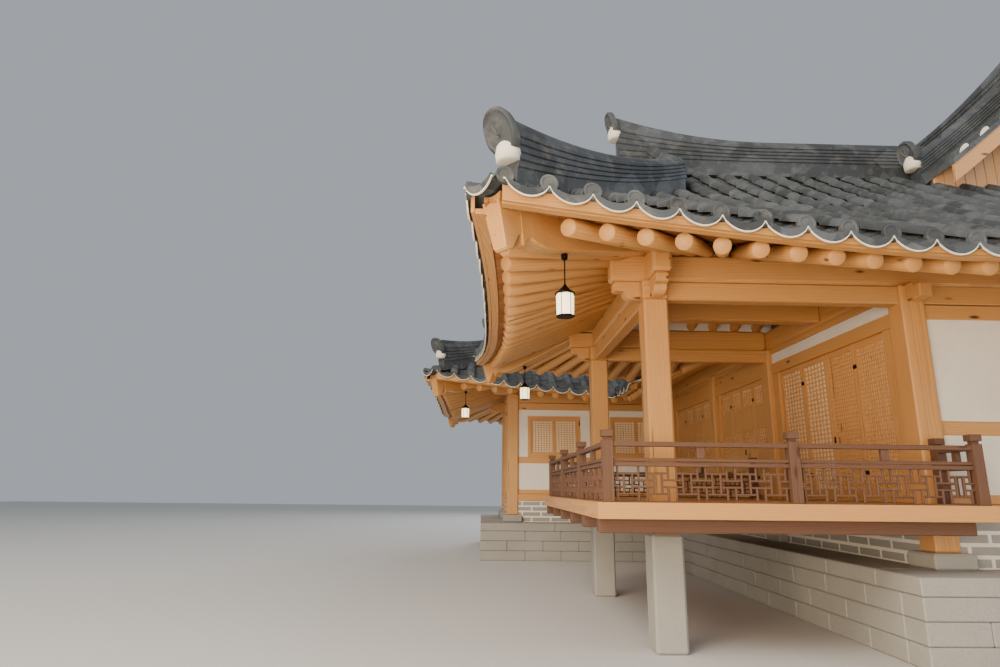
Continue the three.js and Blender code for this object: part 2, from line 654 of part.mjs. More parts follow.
add('wing_ridges', 'tile', [join([
  mainRidge([X_WING_RIDGE, Y_WING_GABLE - VERGE], [X_WING_RIDGE, Y_REAR_GABLE + VERGE],
    SLOPES.court, [true, true]),
  ...[Y_WING_GABLE, Y_REAR_GABLE].flatMap((y) => [
    descendingRidge([X_WING_RIDGE, y], [WING_FOOT_LEFT, y], SLOPES.court),
    descendingRidge([X_WING_RIDGE, y], [WING_FOOT_RIGHT, y], SLOPES.right),
  ]),
  hipRidge(CORNERS.wingFront, [WING_FOOT_RIGHT, Y_WING_GABLE], SLOPES.front),
  hipRidge(CORNERS.wingRear, [WING_FOOT_RIGHT, Y_REAR_GABLE], SLOPES.rear),
]).subtract(underRoof)]);

// Gable boards close the triangle between two slopes, under the verge
const GABLE_FOOT = 4500;
const GABLE_TOP = 8000;
const GABLE_SIDE = VERGE_FOOT + 5;

function gable(x0, x1, y0, y1, pair) {
  const cut = -VERGE_THICKNESS - SEAM;
  return box(x0, x1, y0, y1, GABLE_FOOT, GABLE_TOP)
    .intersect(under(pair[0], tileHeight, cut, [x0, x1], [y0, y1]))
    .intersect(under(pair[1], tileHeight, cut, [x0, x1], [y0, y1]));
}

add('pavilion_gable', 'pine', [gable(PAVILION_GABLE - GABLE_BOARD + SEAM, PAVILION_GABLE - SEAM,
  PAVILION_GABLE + GABLE_SIDE, PAVILION_FOOT_Y - GABLE_SIDE, [SLOPES.front, SLOPES.pavilion_back])]);
add('back_wing_gable', 'pine', [gable(BACK_GABLE - GABLE_BOARD + SEAM, BACK_GABLE - SEAM,
  BACK_FOOT_FRONT + GABLE_SIDE, BACK_FOOT_REAR - GABLE_SIDE, [SLOPES.back_front, SLOPES.rear])]);
add('front_gable', 'pine', [gable(WING_FOOT_LEFT + GABLE_SIDE, WING_FOOT_RIGHT - GABLE_SIDE,
  Y_WING_GABLE - GABLE_BOARD + SEAM, Y_WING_GABLE - SEAM, [SLOPES.court, SLOPES.right])]);
add('rear_gable', 'pine', [gable(WING_FOOT_LEFT + GABLE_SIDE, WING_FOOT_RIGHT - GABLE_SIDE,
  Y_REAR_GABLE + SEAM, Y_REAR_GABLE + GABLE_BOARD - SEAM, [SLOPES.court, SLOPES.right])]);

// Eaves: on each side one purlin lies on the columns and carries the row of rafters

const RAFTER_HALF = RAFTER_RADIUS * Math.cos(Math.PI / RAFTER_SIDES) / Math.cos(Math.atan(RAFTER_SLOPE));
const RAFTER_UNDER = 2 * RAFTER_HALF + SEAM;
const NOTCH = 20;
const PURLIN_TOP = Math.floor(rafterHeight(OVERHANG) - RAFTER_UNDER + NOTCH);
const HALF_PURLIN = PURLIN / 2;
const PURLIN_HEAD = 450;
const WEDGE = 170;
const FAN_CENTRE = OVERHANG + 1300;
const FAN_LENGTH = 0.54;
const FIRST_RAFTER = FAN_CENTRE + RAFTER_PITCH / 2;
const FANS = 8;
const INNER_END = { pavilion: 3250, wing: 2800, left: 2150 };
const CLEAR_OF_HIP = 240;
const CLEAR_OF_VALLEY = 110;
const VALLEY_START = 220 - OVERHANG;
const BED_MARGIN = 25;
const HIP_TOP_DISTANCE = 2900;
const HIP_TIP_DISTANCE = 100;
const HIP_TIP_UNDER = 3290;
const HIP_UNDER_SLOPE = (PURLIN_TOP - HIP_TIP_UNDER) / (OVERHANG - HALF_PURLIN - HIP_TIP_DISTANCE);

function purlinX(x0, x1, y, gap = 0) {
  return box(x0 - gap, x1 + gap, y - HALF_PURLIN - gap, y + HALF_PURLIN + gap, COLUMN_TOP, PURLIN_TOP + gap);
}

function purlinY(x, y0, y1, gap = 0) {
  return box(x - HALF_PURLIN - gap, x + HALF_PURLIN + gap, y0 - gap, y1 + gap, COLUMN_TOP, PURLIN_TOP + gap);
}

// Hip rafter: a deep beam that leans out over the crossing of two purlins
function hipRafter(corner, pair, gap = 0) {
  const place = (d) => [corner.x + corner.inX * d, corner.y + corner.inY * d];
  const reach = HIP_TOP_DISTANCE - HIP_TIP_DISTANCE;
  const ends = [place(HIP_TIP_DISTANCE), place(HIP_TOP_DISTANCE)];
  const seat = OVERHANG - HALF_PURLIN;
  const floor = (t) => {
    const d = HIP_TIP_DISTANCE + reach * t;
    if (d > seat) return PURLIN_TOP - NOTCH - gap + RAFTER_SLOPE * (d - seat);
    return HIP_TIP_UNDER + HIP_UNDER_SLOPE * (d - HIP_TIP_DISTANCE) - NOTCH - gap;
  };
  const top = (t) => {
    const [x, y] = place(HIP_TIP_DISTANCE + reach * t);
    return rafterHeight(HIP_TIP_DISTANCE + reach * t) + lift(x, y) + NOTCH;
  };
  const [xRange, yRange] = span(ends, 200);
  return bar(ends[0], ends[1], HIP_RAFTER + 2 * gap, floor, top, evenly(0, 1, 5))
    .intersect(under(pair[0], rafterHeight, gap - SEAM, xRange, yRange))
    .intersect(under(pair[1], rafterHeight, gap - SEAM, xRange, yRange));
}

// Round log between two points of the bed's underside, let down until its top clears the bed
function log(bed, plain, from, to) {
  const start = new THREE.Vector3(...from, bed(...from));
  const end = new THREE.Vector3(...to, bed(...to));
  const samples = evenly(0, 1, 40).map((t) => start.clone().lerp(end, t));
  const excess = Math.max(...samples.map((p) => p.z - bed(p.x, p.y)
    + (bed(p.x, p.y) > plain(p.x, p.y) + 1 ? BED_MARGIN : 0)));
  const axis = end.clone().sub(start).normalize();
  const side = new THREE.Vector3().crossVectors(axis, new THREE.Vector3(0, 0, 1)).normalize();
  const normal = new THREE.Vector3().crossVectors(side, axis);
  const long = start.distanceTo(end);
  const geometry = new THREE.CylinderGeometry(RAFTER_RADIUS, RAFTER_RADIUS, long, RAFTER_SIDES);
  geometry.rotateY(Math.PI / RAFTER_SIDES);
  geometry.applyMatrix4(new THREE.Matrix4().makeBasis(side, axis, normal));
  const middle = start.add(end).multiplyScalar(0.5);
  geometry.translate(middle.x, middle.y, middle.z - excess - RAFTER_HALF - SEAM);
  return solid(geometry);
}

// Straight rafters at one pitch. Those by an outer corner fan out from a point on the hip rafter.
function rafterRow({ slope, from, to, corners, inner, purlins, hips }) {
  const length = Math.hypot(to[0] - from[0], to[1] - from[1]);
  const along = [(to[0] - from[0]) / length, (to[1] - from[1]) / length];
  const place = (s, d) => [0, 1].map((axis) => from[axis] + along[axis] * s + slope.inward[axis] * d);
  const bed = (x, y) => onGrid((gx, gy) => rafterHeight(slope.rise(gx, gy)) + lift(gx, gy), x, y);
  const plain = (x, y) => rafterHeight(slope.rise(x, y));
  const flare = (s) => RAFTER_FLARE * CORNER_FLARE
    * ((corners[0] ? fade(s) ** 2 : 0) + (corners[1] ? fade(length - s) ** 2 : 0));
  const first = corners[0] ? FIRST_RAFTER : VALLEY_START;
  const last = length - (corners[1] ? FIRST_RAFTER : VALLEY_START);
  const logs = evenly(first, last, Math.round((last - first) / RAFTER_PITCH)).map((s) => {
    const near = Math.min(corners[0] ? s : Infinity, corners[1] ? length - s : Infinity);
    const past = Math.max(-s, s - length);
    return log(bed, plain, place(s, Math.max(RAFTER_INSET - flare(s), past + CLEAR_OF_VALLEY)),
      place(s, Math.min(inner(place(s, 0)[0]), near - CLEAR_OF_HIP)));
  });
  const mirror = (s, end) => (end ? length - s : s);
  const cornerParts = [0, 1].filter((end) => corners[end]).flatMap((end) => [
    ...evenly(1, FANS, FANS - 1).map((k) => mirror(FIRST_RAFTER - RAFTER_PITCH * k, end)).map((s) =>
      log(bed, plain, place(s, RAFTER_INSET - flare(s)), place(s + (mirror(FAN_CENTRE, end) - s) * FAN_LENGTH,
        RAFTER_INSET + (FAN_CENTRE - RAFTER_INSET) * FAN_LENGTH))),
    wedge(place(mirror(OVERHANG + HALF_PURLIN + 1, end), OVERHANG),
      place(mirror(CORNER_REACH, end), OVERHANG)),
  ]);
  const own = hips.map(([corner, pair]) => hipRafter(corner, pair).subtract(sidePurlinSpace));
  const rafters = join([...logs, ...cornerParts]);
  const cleared = hips.length ? rafters : rafters.subtract(hipSpace).subtract(longPurlinSpace);
  return join([cleared, ...purlins, ...own]);
}

// Wedge on a purlin that follows the eave as it turns up towards a corner
function wedge(from, to) {
  const place = (t) => [0, 1].map((axis) => from[axis] + (to[axis] - from[axis]) * t);
  return bar(from, to, WEDGE, () => PURLIN_TOP - NOTCH, (t) => PURLIN_TOP + lift(...place(t)),
    evenly(0, 1, 3));
}

const HIPS = {
  pavilionFront: [CORNERS.pavilionFront, [SLOPES.front, SLOPES.pavilion_left]],
  pavilionBack: [CORNERS.pavilionBack, [SLOPES.pavilion_back, SLOPES.pavilion_left]],
  wingFront: [CORNERS.wingFront, [SLOPES.front, SLOPES.right]],
  wingRear: [CORNERS.wingRear, [SLOPES.rear, SLOPES.right]],
  backFront: [CORNERS.backFront, [SLOPES.back_front, SLOPES.back_left]],
  backRear: [CORNERS.backRear, [SLOPES.rear, SLOPES.back_left]],
};
const hipSpace = join(Object.values(HIPS).map(([corner, pair]) => hipRafter(corner, pair, SEAM)));
const SIDE_PURLINS = {
  left: [X_PAVILION, Y_FRONT + HALF_PURLIN, Y_PAVILION - HALF_PURLIN],
  court: [X_COURT, Y_FRONT + HALF_PURLIN, Y_REAR - HALF_PURLIN],
  right: [X_RIGHT, Y_FRONT + HALF_PURLIN, Y_REAR - HALF_PURLIN],
  backLeft: [X_BACK_LEFT, Y_BACK + HALF_PURLIN, Y_REAR - HALF_PURLIN],
};
const sidePurlinSpace = join(Object.values(SIDE_PURLINS).map((ends) => purlinY(...ends, SEAM)));
const WING_EDGE = X_COURT - HALF_PURLIN;
const LONG_PURLINS = {
  front: [X_PAVILION - PURLIN_HEAD, X_RIGHT + PURLIN_HEAD, Y_FRONT],
  pavilionBack: [X_PAVILION - PURLIN_HEAD, WING_EDGE, Y_PAVILION],
  backFront: [X_BACK_LEFT - PURLIN_HEAD, WING_EDGE, Y_BACK],
  rear: [X_BACK_LEFT - PURLIN_HEAD, X_RIGHT + PURLIN_HEAD, Y_REAR],
};
const longPurlinSpace = join(Object.values(LONG_PURLINS).map((ends) => purlinX(...ends, SEAM)));
const frontHead = (x, y) => purlinY(x, y - PURLIN_HEAD, y - HALF_PURLIN);
const rearHead = (x, y) => purlinY(x, y + HALF_PURLIN, y + PURLIN_HEAD);

const ROWS = {
  front_eave: {
    slope: SLOPES.front,
    from: [EAVES.pavilionLeft, EAVES.front],
    to: [EAVES.right, EAVES.front],
    corners: [true, true],
    inner: (x) => (x < WING_FOOT_LEFT - RAFTER_PITCH ? INNER_END.pavilion : INNER_END.wing),
    purlins: [purlinX(...LONG_PURLINS.front),
      frontHead(X_PAVILION, Y_FRONT), frontHead(X_RIGHT, Y_FRONT)],
    hips: [HIPS.pavilionFront, HIPS.wingFront],
  },
  pavilion_left_eave: {
    slope: SLOPES.pavilion_left,
    from: [EAVES.pavilionLeft, EAVES.pavilionBack],
    to: [EAVES.pavilionLeft, EAVES.front],
    corners: [true, true],
    inner: () => INNER_END.left,
    purlins: [purlinY(...SIDE_PURLINS.left)],
    hips: [],
  },
  pavilion_back_eave: {
    slope: SLOPES.pavilion_back,
    from: [EAVES.court, EAVES.pavilionBack],
    to: [EAVES.pavilionLeft, EAVES.pavilionBack],
    corners: [false, true],
    inner: () => INNER_END.pavilion,
    purlins: [purlinX(...LONG_PURLINS.pavilionBack), rearHead(X_PAVILION, Y_PAVILION)],
    hips: [HIPS.pavilionBack],
  },
  court_eave: {
    slope: SLOPES.court,
    from: [EAVES.court, EAVES.backFront],
    to: [EAVES.court, EAVES.pavilionBack],
    corners: [false, false],
    inner: () => INNER_END.wing,
    purlins: [purlinY(...SIDE_PURLINS.court)],
    hips: [],
  },
  back_wing_front_eave: {
    slope: SLOPES.back_front,
    from: [EAVES.backLeft, EAVES.backFront],
    to: [EAVES.court, EAVES.backFront],
    corners: [true, false],
    inner: () => INNER_END.wing,
    purlins: [purlinX(...LONG_PURLINS.backFront), frontHead(X_BACK_LEFT, Y_BACK)],
    hips: [HIPS.backFront],
  },
  back_wing_left_eave: {
    slope: SLOPES.back_left,
    from: [EAVES.backLeft, EAVES.rear],
    to: [EAVES.backLeft, EAVES.backFront],
    corners: [true, true],
    inner: () => INNER_END.left,
    purlins: [purlinY(...SIDE_PURLINS.backLeft)],
    hips: [],
  },
  rear_eave: {
    slope: SLOPES.rear,
    from: [EAVES.right, EAVES.rear],
    to: [EAVES.backLeft, EAVES.rear],
    corners: [true, true],
    inner: () => INNER_END.wing,
    purlins: [purlinX(...LONG_PURLINS.rear),
      rearHead(X_BACK_LEFT, Y_REAR), rearHead(X_RIGHT, Y_REAR)],
    hips: [HIPS.wingRear, HIPS.backRear],
  },
  right_eave: {
    slope: SLOPES.right,
    from: [EAVES.right, EAVES.front],
    to: [EAVES.right, EAVES.rear],
    corners: [true, true],
    inner: () => INNER_END.wing,
    purlins: [purlinY(...SIDE_PURLINS.right)],
    hips: [],
  },
};
for (const [name, row] of Object.entries(ROWS)) add(name, 'pine', [rafterRow(row)]);

// Stone: platforms, and filled footings with square base stones for the columns

const STONE_POST = 300;
const BASE_STONE = 420;
const FOOTING = 200;
const PAST = 10;

function post(x, y, z0, z1, width) {
  return box(x - width / 2, x + width / 2, y - width / 2, y + width / 2, z0, z1);
}

// Box in a wall that runs along X or Y: a and b along it, the thickness across it
function wallBox(side, a, b, thickness, z0, z1) {
  const half = thickness / 2;
  return side.along === 'x'
    ? box(a, b, side.line - half, side.line + half, z0, z1)
    : box(side.line - half, side.line + half, a, b, z0, z1);
}

const SIDES = {
  front: { along: 'x', line: Y_FRONT, lines: [X_COURT, X_MIDDLE, X_RIGHT] },
  right: { along: 'y', line: X_RIGHT, lines: [Y_FRONT, Y_PAVILION, Y_COURT, Y_BACK, Y_BACK_MIDDLE, Y_REAR] },
  rear: { along: 'x', line: Y_REAR, lines: [X_BACK_LEFT, X_BACK_MIDDLE, X_COURT, X_MIDDLE, X_RIGHT] },
  backFront: { along: 'x', line: Y_BACK, lines: [X_BACK_LEFT, X_BACK_MIDDLE, X_COURT] },
  backLeft: { along: 'y', line: X_BACK_LEFT, lines: [Y_BACK, Y_BACK_MIDDLE, Y_REAR] },
  court: { along: 'y', line: X_COURT, lines: [Y_FRONT, Y_PAVILION, Y_COURT, Y_BACK] },
};
const columnPlaces = Object.values(SIDES).flatMap((side) =>
  side.lines.map((at) => (side.along === 'x' ? [at, side.line] : [side.line, at])));
const wingPlaces = columnPlaces.filter(([x]) => x >= X_COURT);
const backPlaces = columnPlaces.filter(([x]) => x < X_COURT);
const HALF_FOOTING = FOOTING / 2;

function unique(places) {
  return [...new Map(places.map((place) => [place.join(), place])).values()];
}

// Footing block under the floor: it is cut around the columns, which stand on its base stones
function footing(places, x0, x1, y0, y1) {
  return join([
    box(x0, x1, y0, y1, PLATFORM_TOP, FLOOR_UNDER).subtract(
      join(places.map(([x, y]) => post(x, y, BASE_STONE_TOP, FLOOR_UNDER + PAST, COLUMN + 2 * SEAM)))),
    ...places.map(([x, y]) => post(x, y, PLATFORM_TOP, BASE_STONE_TOP, BASE_STONE)),
  ]);
}

const wingStone = footing(unique(wingPlaces), X_COURT - HALF_FOOTING, X_RIGHT + HALF_FOOTING,
  Y_FRONT - HALF_FOOTING, Y_REAR + HALF_FOOTING);
add('wing_footing', 'granite', [wingStone]);
const sharedColumns = join([Y_BACK, Y_REAR].map((y) =>
  post(X_COURT, y, PLATFORM_TOP, FLOOR_UNDER + PAST, COLUMN + 2 * SEAM)));
add('back_wing_footing', 'granite', [
  footing(unique(backPlaces), X_BACK_LEFT - HALF_FOOTING, X_COURT - HALF_FOOTING,
    Y_BACK - HALF_FOOTING, Y_REAR + HALF_FOOTING).subtract(wingStone).subtract(sharedColumns)]);
add('wing_platform', 'granite', [box(X_COURT - PLATFORM_REACH, X_RIGHT + PLATFORM_REACH,
  Y_FRONT - PLATFORM_REACH, Y_REAR + PLATFORM_REACH, 0, PLATFORM_TOP)]);
add('back_wing_platform', 'granite', [box(X_BACK_LEFT - PLATFORM_REACH, X_COURT - PLATFORM_REACH,
  Y_BACK - PLATFORM_REACH, Y_REAR + PLATFORM_REACH, 0, PLATFORM_TOP)]);
add('front_stone_post', 'granite', [post(X_PAVILION, Y_FRONT, 0, STONE_POST_TOP, STONE_POST)]);
add('back_stone_post', 'granite', [post(X_PAVILION, Y_PAVILION, 0, STONE_POST_TOP, STONE_POST)]);

// Walls: columns and beams with plaster panels between them, and door and window holes cut through

const WALL = 120;
const BEAM = 140;
const WINDOW = { width: 1200, height: 920, frame: 70, leaf: 45, sheet: 10, margin: 40 };
const HEAD = { width: 120, reach: 300, neck: 90, slope: 60, lip: 90 };
const LAP = 5;

function headOutline(root, direction) {
  return [
    [root, LINTEL], [root + direction * HEAD.neck, LINTEL],
    [root + direction * (HEAD.neck + HEAD.slope), LINTEL + HEAD.slope],
    [root + direction * HEAD.reach, LINTEL + HEAD.lip],
    [root + direction * HEAD.reach, COLUMN_TOP], [root, COLUMN_TOP],
  ];
}

// Carved end of a lintel that shows outside a corner column
function headX(x, y, direction) {
  const shape = headOutline(x + direction * (HALF_COLUMN - LAP), direction);
  return plateAlongX(shape, y - HEAD.width / 2, y + HEAD.width / 2);
}

function headY(x, y, direction) {
  const shape = headOutline(y + direction * (HALF_COLUMN - LAP), direction);
  return plateAlongY(shape, x - HEAD.width / 2, x + HEAD.width / 2);
}

function bays(side) {
  return side.lines.slice(1).map((end, i) => [side.lines[i] + HALF_COLUMN, end - HALF_COLUMN]);
}

function windowHole(side, [a, b], thickness, margin) {
  const middle = (a + b) / 2;
  const half = WINDOW.width / 2 - margin;
  const top = SILL_TOP + WINDOW.height;
  return wallBox(side, middle - half, middle + half, thickness, SILL_TOP + margin, top - margin);
}

// Wall side: from and to select the column lines whose columns belong to this wall
function wall(side, from, to, windowed) {
  const parts = side.lines.slice(from, to).map((at) =>
    wallBox(side, at - HALF_COLUMN, at + HALF_COLUMN, COLUMN, BASE_STONE_TOP, COLUMN_TOP));
  for (const [a, b] of bays(side)) {
    const panel = wallBox(side, a, b, WALL, FLOOR, COLUMN_TOP);
    parts.push(windowed ? panel.subtract(windowHole(side, [a, b], WALL + 2 * PAST, 0)) : panel);
    parts.push(wallBox(side, a, b, BEAM, SILL, SILL_TOP));
    parts.push(wallBox(side, a, b, BEAM, WALL_HEAD, COLUMN_TOP));
  }
  return join(parts);
}

add('front_wall', 'plaster', [wall(SIDES.front, 0, 3, false), headY(X_COURT, Y_FRONT, -1)]);
add('right_wall', 'plaster', [wall(SIDES.right, 1, 5, true)]);
add('rear_wall', 'plaster', [wall(SIDES.rear, 0, 5, true)]);
add('back_wing_front_wall', 'plaster', [wall(SIDES.backFront, 0, 2, true)]);
add('back_wing_left_wall', 'plaster', [wall(SIDES.backLeft, 1, 2, true)]);

// Windows: two hung leaves in a frame. The hidden sides have one sheet of paper behind all holes.
function windowUnit(side, bay) {
  const middle = (bay[0] + bay[1]) / 2;
  return join([
    windowHole(side, bay, BEAM, 0).subtract(windowHole(side, bay, BEAM + 2 * PAST, WINDOW.frame)),
    windowHole(side, bay, WINDOW.leaf, WINDOW.frame - LAP),
    wallBox(side, middle - WINDOW.frame / 2, middle + WINDOW.frame / 2, WINDOW.leaf + 2 * PAST,
      SILL_TOP + WINDOW.frame - LAP, SILL_TOP + WINDOW.height - WINDOW.frame + LAP),
  ]);
}

function paperSheet(side, inward) {
  const first = bays(side)[0];
  const last = bays(side)[side.lines.length - 2];
  const line = side.line + inward * (HALF_COLUMN + WINDOW.sheet / 2);
  return wallBox({ ...side, line }, first[0] + HALF_COLUMN, last[1] - HALF_COLUMN, WINDOW.sheet,
    SILL_TOP - WINDOW.margin, SILL_TOP + WINDOW.height + WINDOW.margin);
}

add('back_wing_window_left', 'paper', [windowUnit(SIDES.backFront, bays(SIDES.backFront)[0])]);
add('back_wing_window_right', 'paper', [windowUnit(SIDES.backFront, bays(SIDES.backFront)[1])]);
add('right_window_paper', 'paper', [paperSheet(SIDES.right, -1)]);
add('rear_window_paper', 'paper', [paperSheet(SIDES.rear, -1)]);
add('back_wing_left_window_paper', 'paper', [paperSheet(SIDES.backLeft, 1)]);

// Court side: three bays of four folding leaves under a head beam and a plaster strip

const DOOR_SPANS = [[370, 2920], [3500, 5400], [5900, 8080]];
const DOOR_SILL = 1400;
const LEAVES = 4;
const LEAF = { thickness: 45, hinge: 25, groove: 6 };
const PLASTER_STRIP = 90;
const JAMB = 120;

add('court_wall', 'pine', [join([
  ...SIDES.court.lines.slice(1).map((at) =>
    wallBox(SIDES.court, at - HALF_COLUMN, at + HALF_COLUMN, COLUMN, BASE_STONE_TOP, COLUMN_TOP)),
  ...bays(SIDES.court).flatMap(([a, b], i) => [
    wallBox(SIDES.court, a, b, BEAM, FLOOR, DOOR_SILL),
    wallBox(SIDES.court, a, DOOR_SPANS[i][0], JAMB, FLOOR, HEAD_TOP),
    wallBox(SIDES.court, DOOR_SPANS[i][1], b, JAMB, FLOOR, HEAD_TOP),
    wallBox(SIDES.court, a, b, BEAM, DOOR_HEAD, HEAD_TOP),
    wallBox(SIDES.court, a, b, PLASTER_STRIP, HEAD_TOP, COURT_LINTEL),
    wallBox(SIDES.court, a, b, BEAM, COURT_LINTEL, COLUMN_TOP),
  ]),
])]);

// Leaves of one bay, held to each other by their hinges
function leafSet(side, a, b) {
  const width = (b - a) / LEAVES;
  const leaf = (i) => wallBox(side, a + width * i + (i ? LEAF.groove / 2 : 0),
    a + width * (i + 1) - (i < LEAVES - 1 ? LEAF.groove / 2 : 0), LEAF.thickness, DOOR_SILL, DOOR_HEAD);
  const sheet = wallBox(side, a, b, LEAF.hinge, DOOR_SILL, DOOR_HEAD);
  return join([sheet, ...evenly(0, LEAVES - 1, LEAVES - 1).map(leaf)]);
}

['court_doors_front', 'court_doors_middle', 'court_doors_rear'].forEach((name, i) =>
  add(name, 'paper', [leafSet(SIDES.court, ...DOOR_SPANS[i])]));

// Pavilion: two free columns, lintels that cross over them, and the beams under the roof

const freeColumns = [[X_PAVILION, Y_FRONT], [X_PAVILION, Y_PAVILION]];
add('pavilion_front_column', 'pine', [post(...freeColumns[0], STONE_POST_TOP, LINTEL, COLUMN)]);
add('pavilion_back_column', 'pine', [post(...freeColumns[1], STONE_POST_TOP, LINTEL, COLUMN)]);
add('pavilion_lintels', 'pine', [join([
  ...freeColumns.map(([x, y]) => post(x, y, LINTEL, COLUMN_TOP, COLUMN)),
  wallBox({ along: 'x', line: Y_FRONT }, X_PAVILION, X_COURT - HALF_COLUMN, BEAM, LINTEL, COLUMN_TOP),
  wallBox({ along: 'x', line: Y_PAVILION }, X_PAVILION, X_COURT - HALF_COLUMN, BEAM, LINTEL, COLUMN_TOP),
  wallBox({ along: 'y', line: X_PAVILION }, Y_FRONT, Y_PAVILION, BEAM, LINTEL, COLUMN_TOP),
  headX(X_PAVILION, Y_FRONT, -1), headX(X_PAVILION, Y_PAVILION, -1),
  headY(X_PAVILION, Y_FRONT, -1), headY(X_PAVILION, Y_PAVILION, 1),
])]);

const CROSSBEAM = { width: 200, z0: 3600, z1: 3860 };
const RIDGE_PURLIN = { width: 180, depth: 200, from: 620 };
const KING_POST = 160;
const ridgePurlinTop = Math.floor(rafterHeight(PAVILION_RISE - RIDGE_PURLIN.width / 2) - RAFTER_UNDER);
const ridgeLine = { along: 'x', line: Y_PAVILION_RIDGE };
add('pavilion_roof_beams', 'pine', [join([
  wallBox(ridgeLine, X_PAVILION + HALF_PURLIN, WING_EDGE, CROSSBEAM.width, CROSSBEAM.z0, CROSSBEAM.z1),
  wallBox(ridgeLine, RIDGE_PURLIN.from, X_COURT + HALF_PURLIN, RIDGE_PURLIN.width,
    ridgePurlinTop - RIDGE_PURLIN.depth, ridgePurlinTop),
  ...[RIDGE_PURLIN.from + KING_POST, WING_EDGE - KING_POST].map((x) =>
    wallBox(ridgeLine, x - KING_POST / 2, x + KING_POST / 2, KING_POST, CROSSBEAM.z1 - LAP,
      ridgePurlinTop - RIDGE_PURLIN.depth + LAP)),
])]);

// Floors, notched around the columns. The pavilion's one runs out to a narrow gallery on three sides.

const EDGE = 100;
const GALLERY = 760;
const BOARDS = 80;
const JOIST = { width: 120, under: 1090, step: 900 };
const columnSpace = join(unique([...freeColumns, ...columnPlaces]).map(([x, y]) =>
  post(x, y, 0, COLUMN_TOP, COLUMN + 2 * SEAM)));
const galleryLeft = X_PAVILION - GALLERY;
const galleryFront = Y_FRONT - GALLERY;
const galleryBack = Y_PAVILION + GALLERY;
const pavilionEdge = X_COURT - EDGE;

add('wing_floor', 'pine', [
  box(X_COURT - EDGE, X_RIGHT + EDGE, Y_FRONT - EDGE, Y_REAR + EDGE, FLOOR_UNDER, FLOOR)
    .subtract(columnSpace)]);
add('back_wing_floor', 'pine', [
  box(X_BACK_LEFT - EDGE, X_COURT - EDGE, Y_BACK - EDGE, Y_REAR + EDGE, FLOOR_UNDER, FLOOR)
    .subtract(columnSpace)]);
add('pavilion_floor', 'pine', [join([
  box(galleryLeft, pavilionEdge, galleryFront, galleryBack, FLOOR - BOARDS, FLOOR),
  box(pavilionEdge, X_COURT + EDGE, galleryFront, Y_FRONT - EDGE, FLOOR - BOARDS, FLOOR),
]).subtract(columnSpace)]);

const joistCount = Math.round((galleryBack - galleryFront) / JOIST.step);
const joistY = Array.from({ length: joistCount + 1 }, (_, i) =>
  galleryFront + JOIST.width / 2 + ((galleryBack - galleryFront - JOIST.width) * i) / joistCount);
const joistX = [galleryLeft + JOIST.width / 2, X_PAVILION, pavilionEdge - JOIST.width / 2];
add('pavilion_joists', 'weathered', [join([
  ...joistY.map((y) => wallBox({ along: 'x', line: y }, galleryLeft, pavilionEdge, JOIST.width,
    JOIST.under, FLOOR - BOARDS)),
  ...joistX.map((x) => wallBox({ along: 'y', line: x }, galleryFront, galleryBack, JOIST.width,
    JOIST.under, FLOOR - BOARDS)),
]).subtract(columnSpace)]);

// Railing of the gallery: square posts with caps, two rails and a lattice of thin bars

const RAIL_LINE = 650;
const RAIL_POST = 95;
const POST_TOP = 1975;
const RAIL = { top: 1874, topDepth: 46, topWidth: 80, low: 1731, lowDepth: 73, width: 60, bar: 18, foot: 40 };
const CAP = { neck: 0.7, brim: 1.05, heights: [90, 70, 45, 15] };
const LATTICE_ROWS = 3;
const LATTICE_COLUMNS = 2;
const RAIL_END = X_COURT - 10;
const railFront = Y_FRONT - RAIL_LINE;
const railBack = Y_PAVILION + RAIL_LINE;
const railLeft = X_PAVILION - RAIL_LINE;
const returnEnd = Y_FRONT - HALF_COLUMN - RAIL_POST * CAP.brim / 2;

function railPost(x, y) {
  const half = RAIL_POST / Math.SQRT2;
  const widths = [half, half * CAP.neck, half * CAP.brim, half * CAP.brim];
  const cap = CAP.heights.map((below, i) => [widths[i], POST_TOP - below]);
  const profile = [[0, FLOOR], [half, FLOOR], ...cap, [0, POST_TOP]];
  const geometry = new THREE.LatheGeometry(profile.map(([r, z]) => new THREE.Vector2(r, z)), 4, Math.PI / 4);
  geometry.rotateX(Math.PI / 2);
  geometry.translate(x, y, 0);
  return solid(geometry);
}

function railPanel(side, from, to) {
  const a = from + RAIL_POST / 2 - LAP;
  const b = to - RAIL_POST / 2 + LAP;
  const latticeTop = RAIL.low - RAIL.lowDepth;
  const latticeFoot = FLOOR + RAIL.foot;
  const half = RAIL.bar / 2;
  return join([
    wallBox(side, a, b, RAIL.topWidth, RAIL.top - RAIL.topDepth, RAIL.top),
    wallBox(side, a, b, RAIL.width, latticeTop, RAIL.low),
    wallBox(side, a, b, RAIL.width, FLOOR, latticeFoot),
    wallBox(side, (a + b - RAIL.width) / 2, (a + b + RAIL.width) / 2, RAIL.width - 2 * LAP,
      RAIL.low - LAP, RAIL.top - RAIL.topDepth + LAP),
    ...evenly(latticeFoot, latticeTop, LATTICE_ROWS).slice(1, -1).map((z) =>
      wallBox(side, a, b, RAIL.bar, z - half, z + half)),
    ...evenly(a, b, LATTICE_COLUMNS).slice(1, -1).map((at) =>
      wallBox(side, at - half, at + half, RAIL.bar, latticeFoot - LAP, latticeTop + LAP)),
  ]);
}

function railRun(side, stops) {
  return stops.slice(1).map((end, i) => railPanel(side, stops[i], end));
}

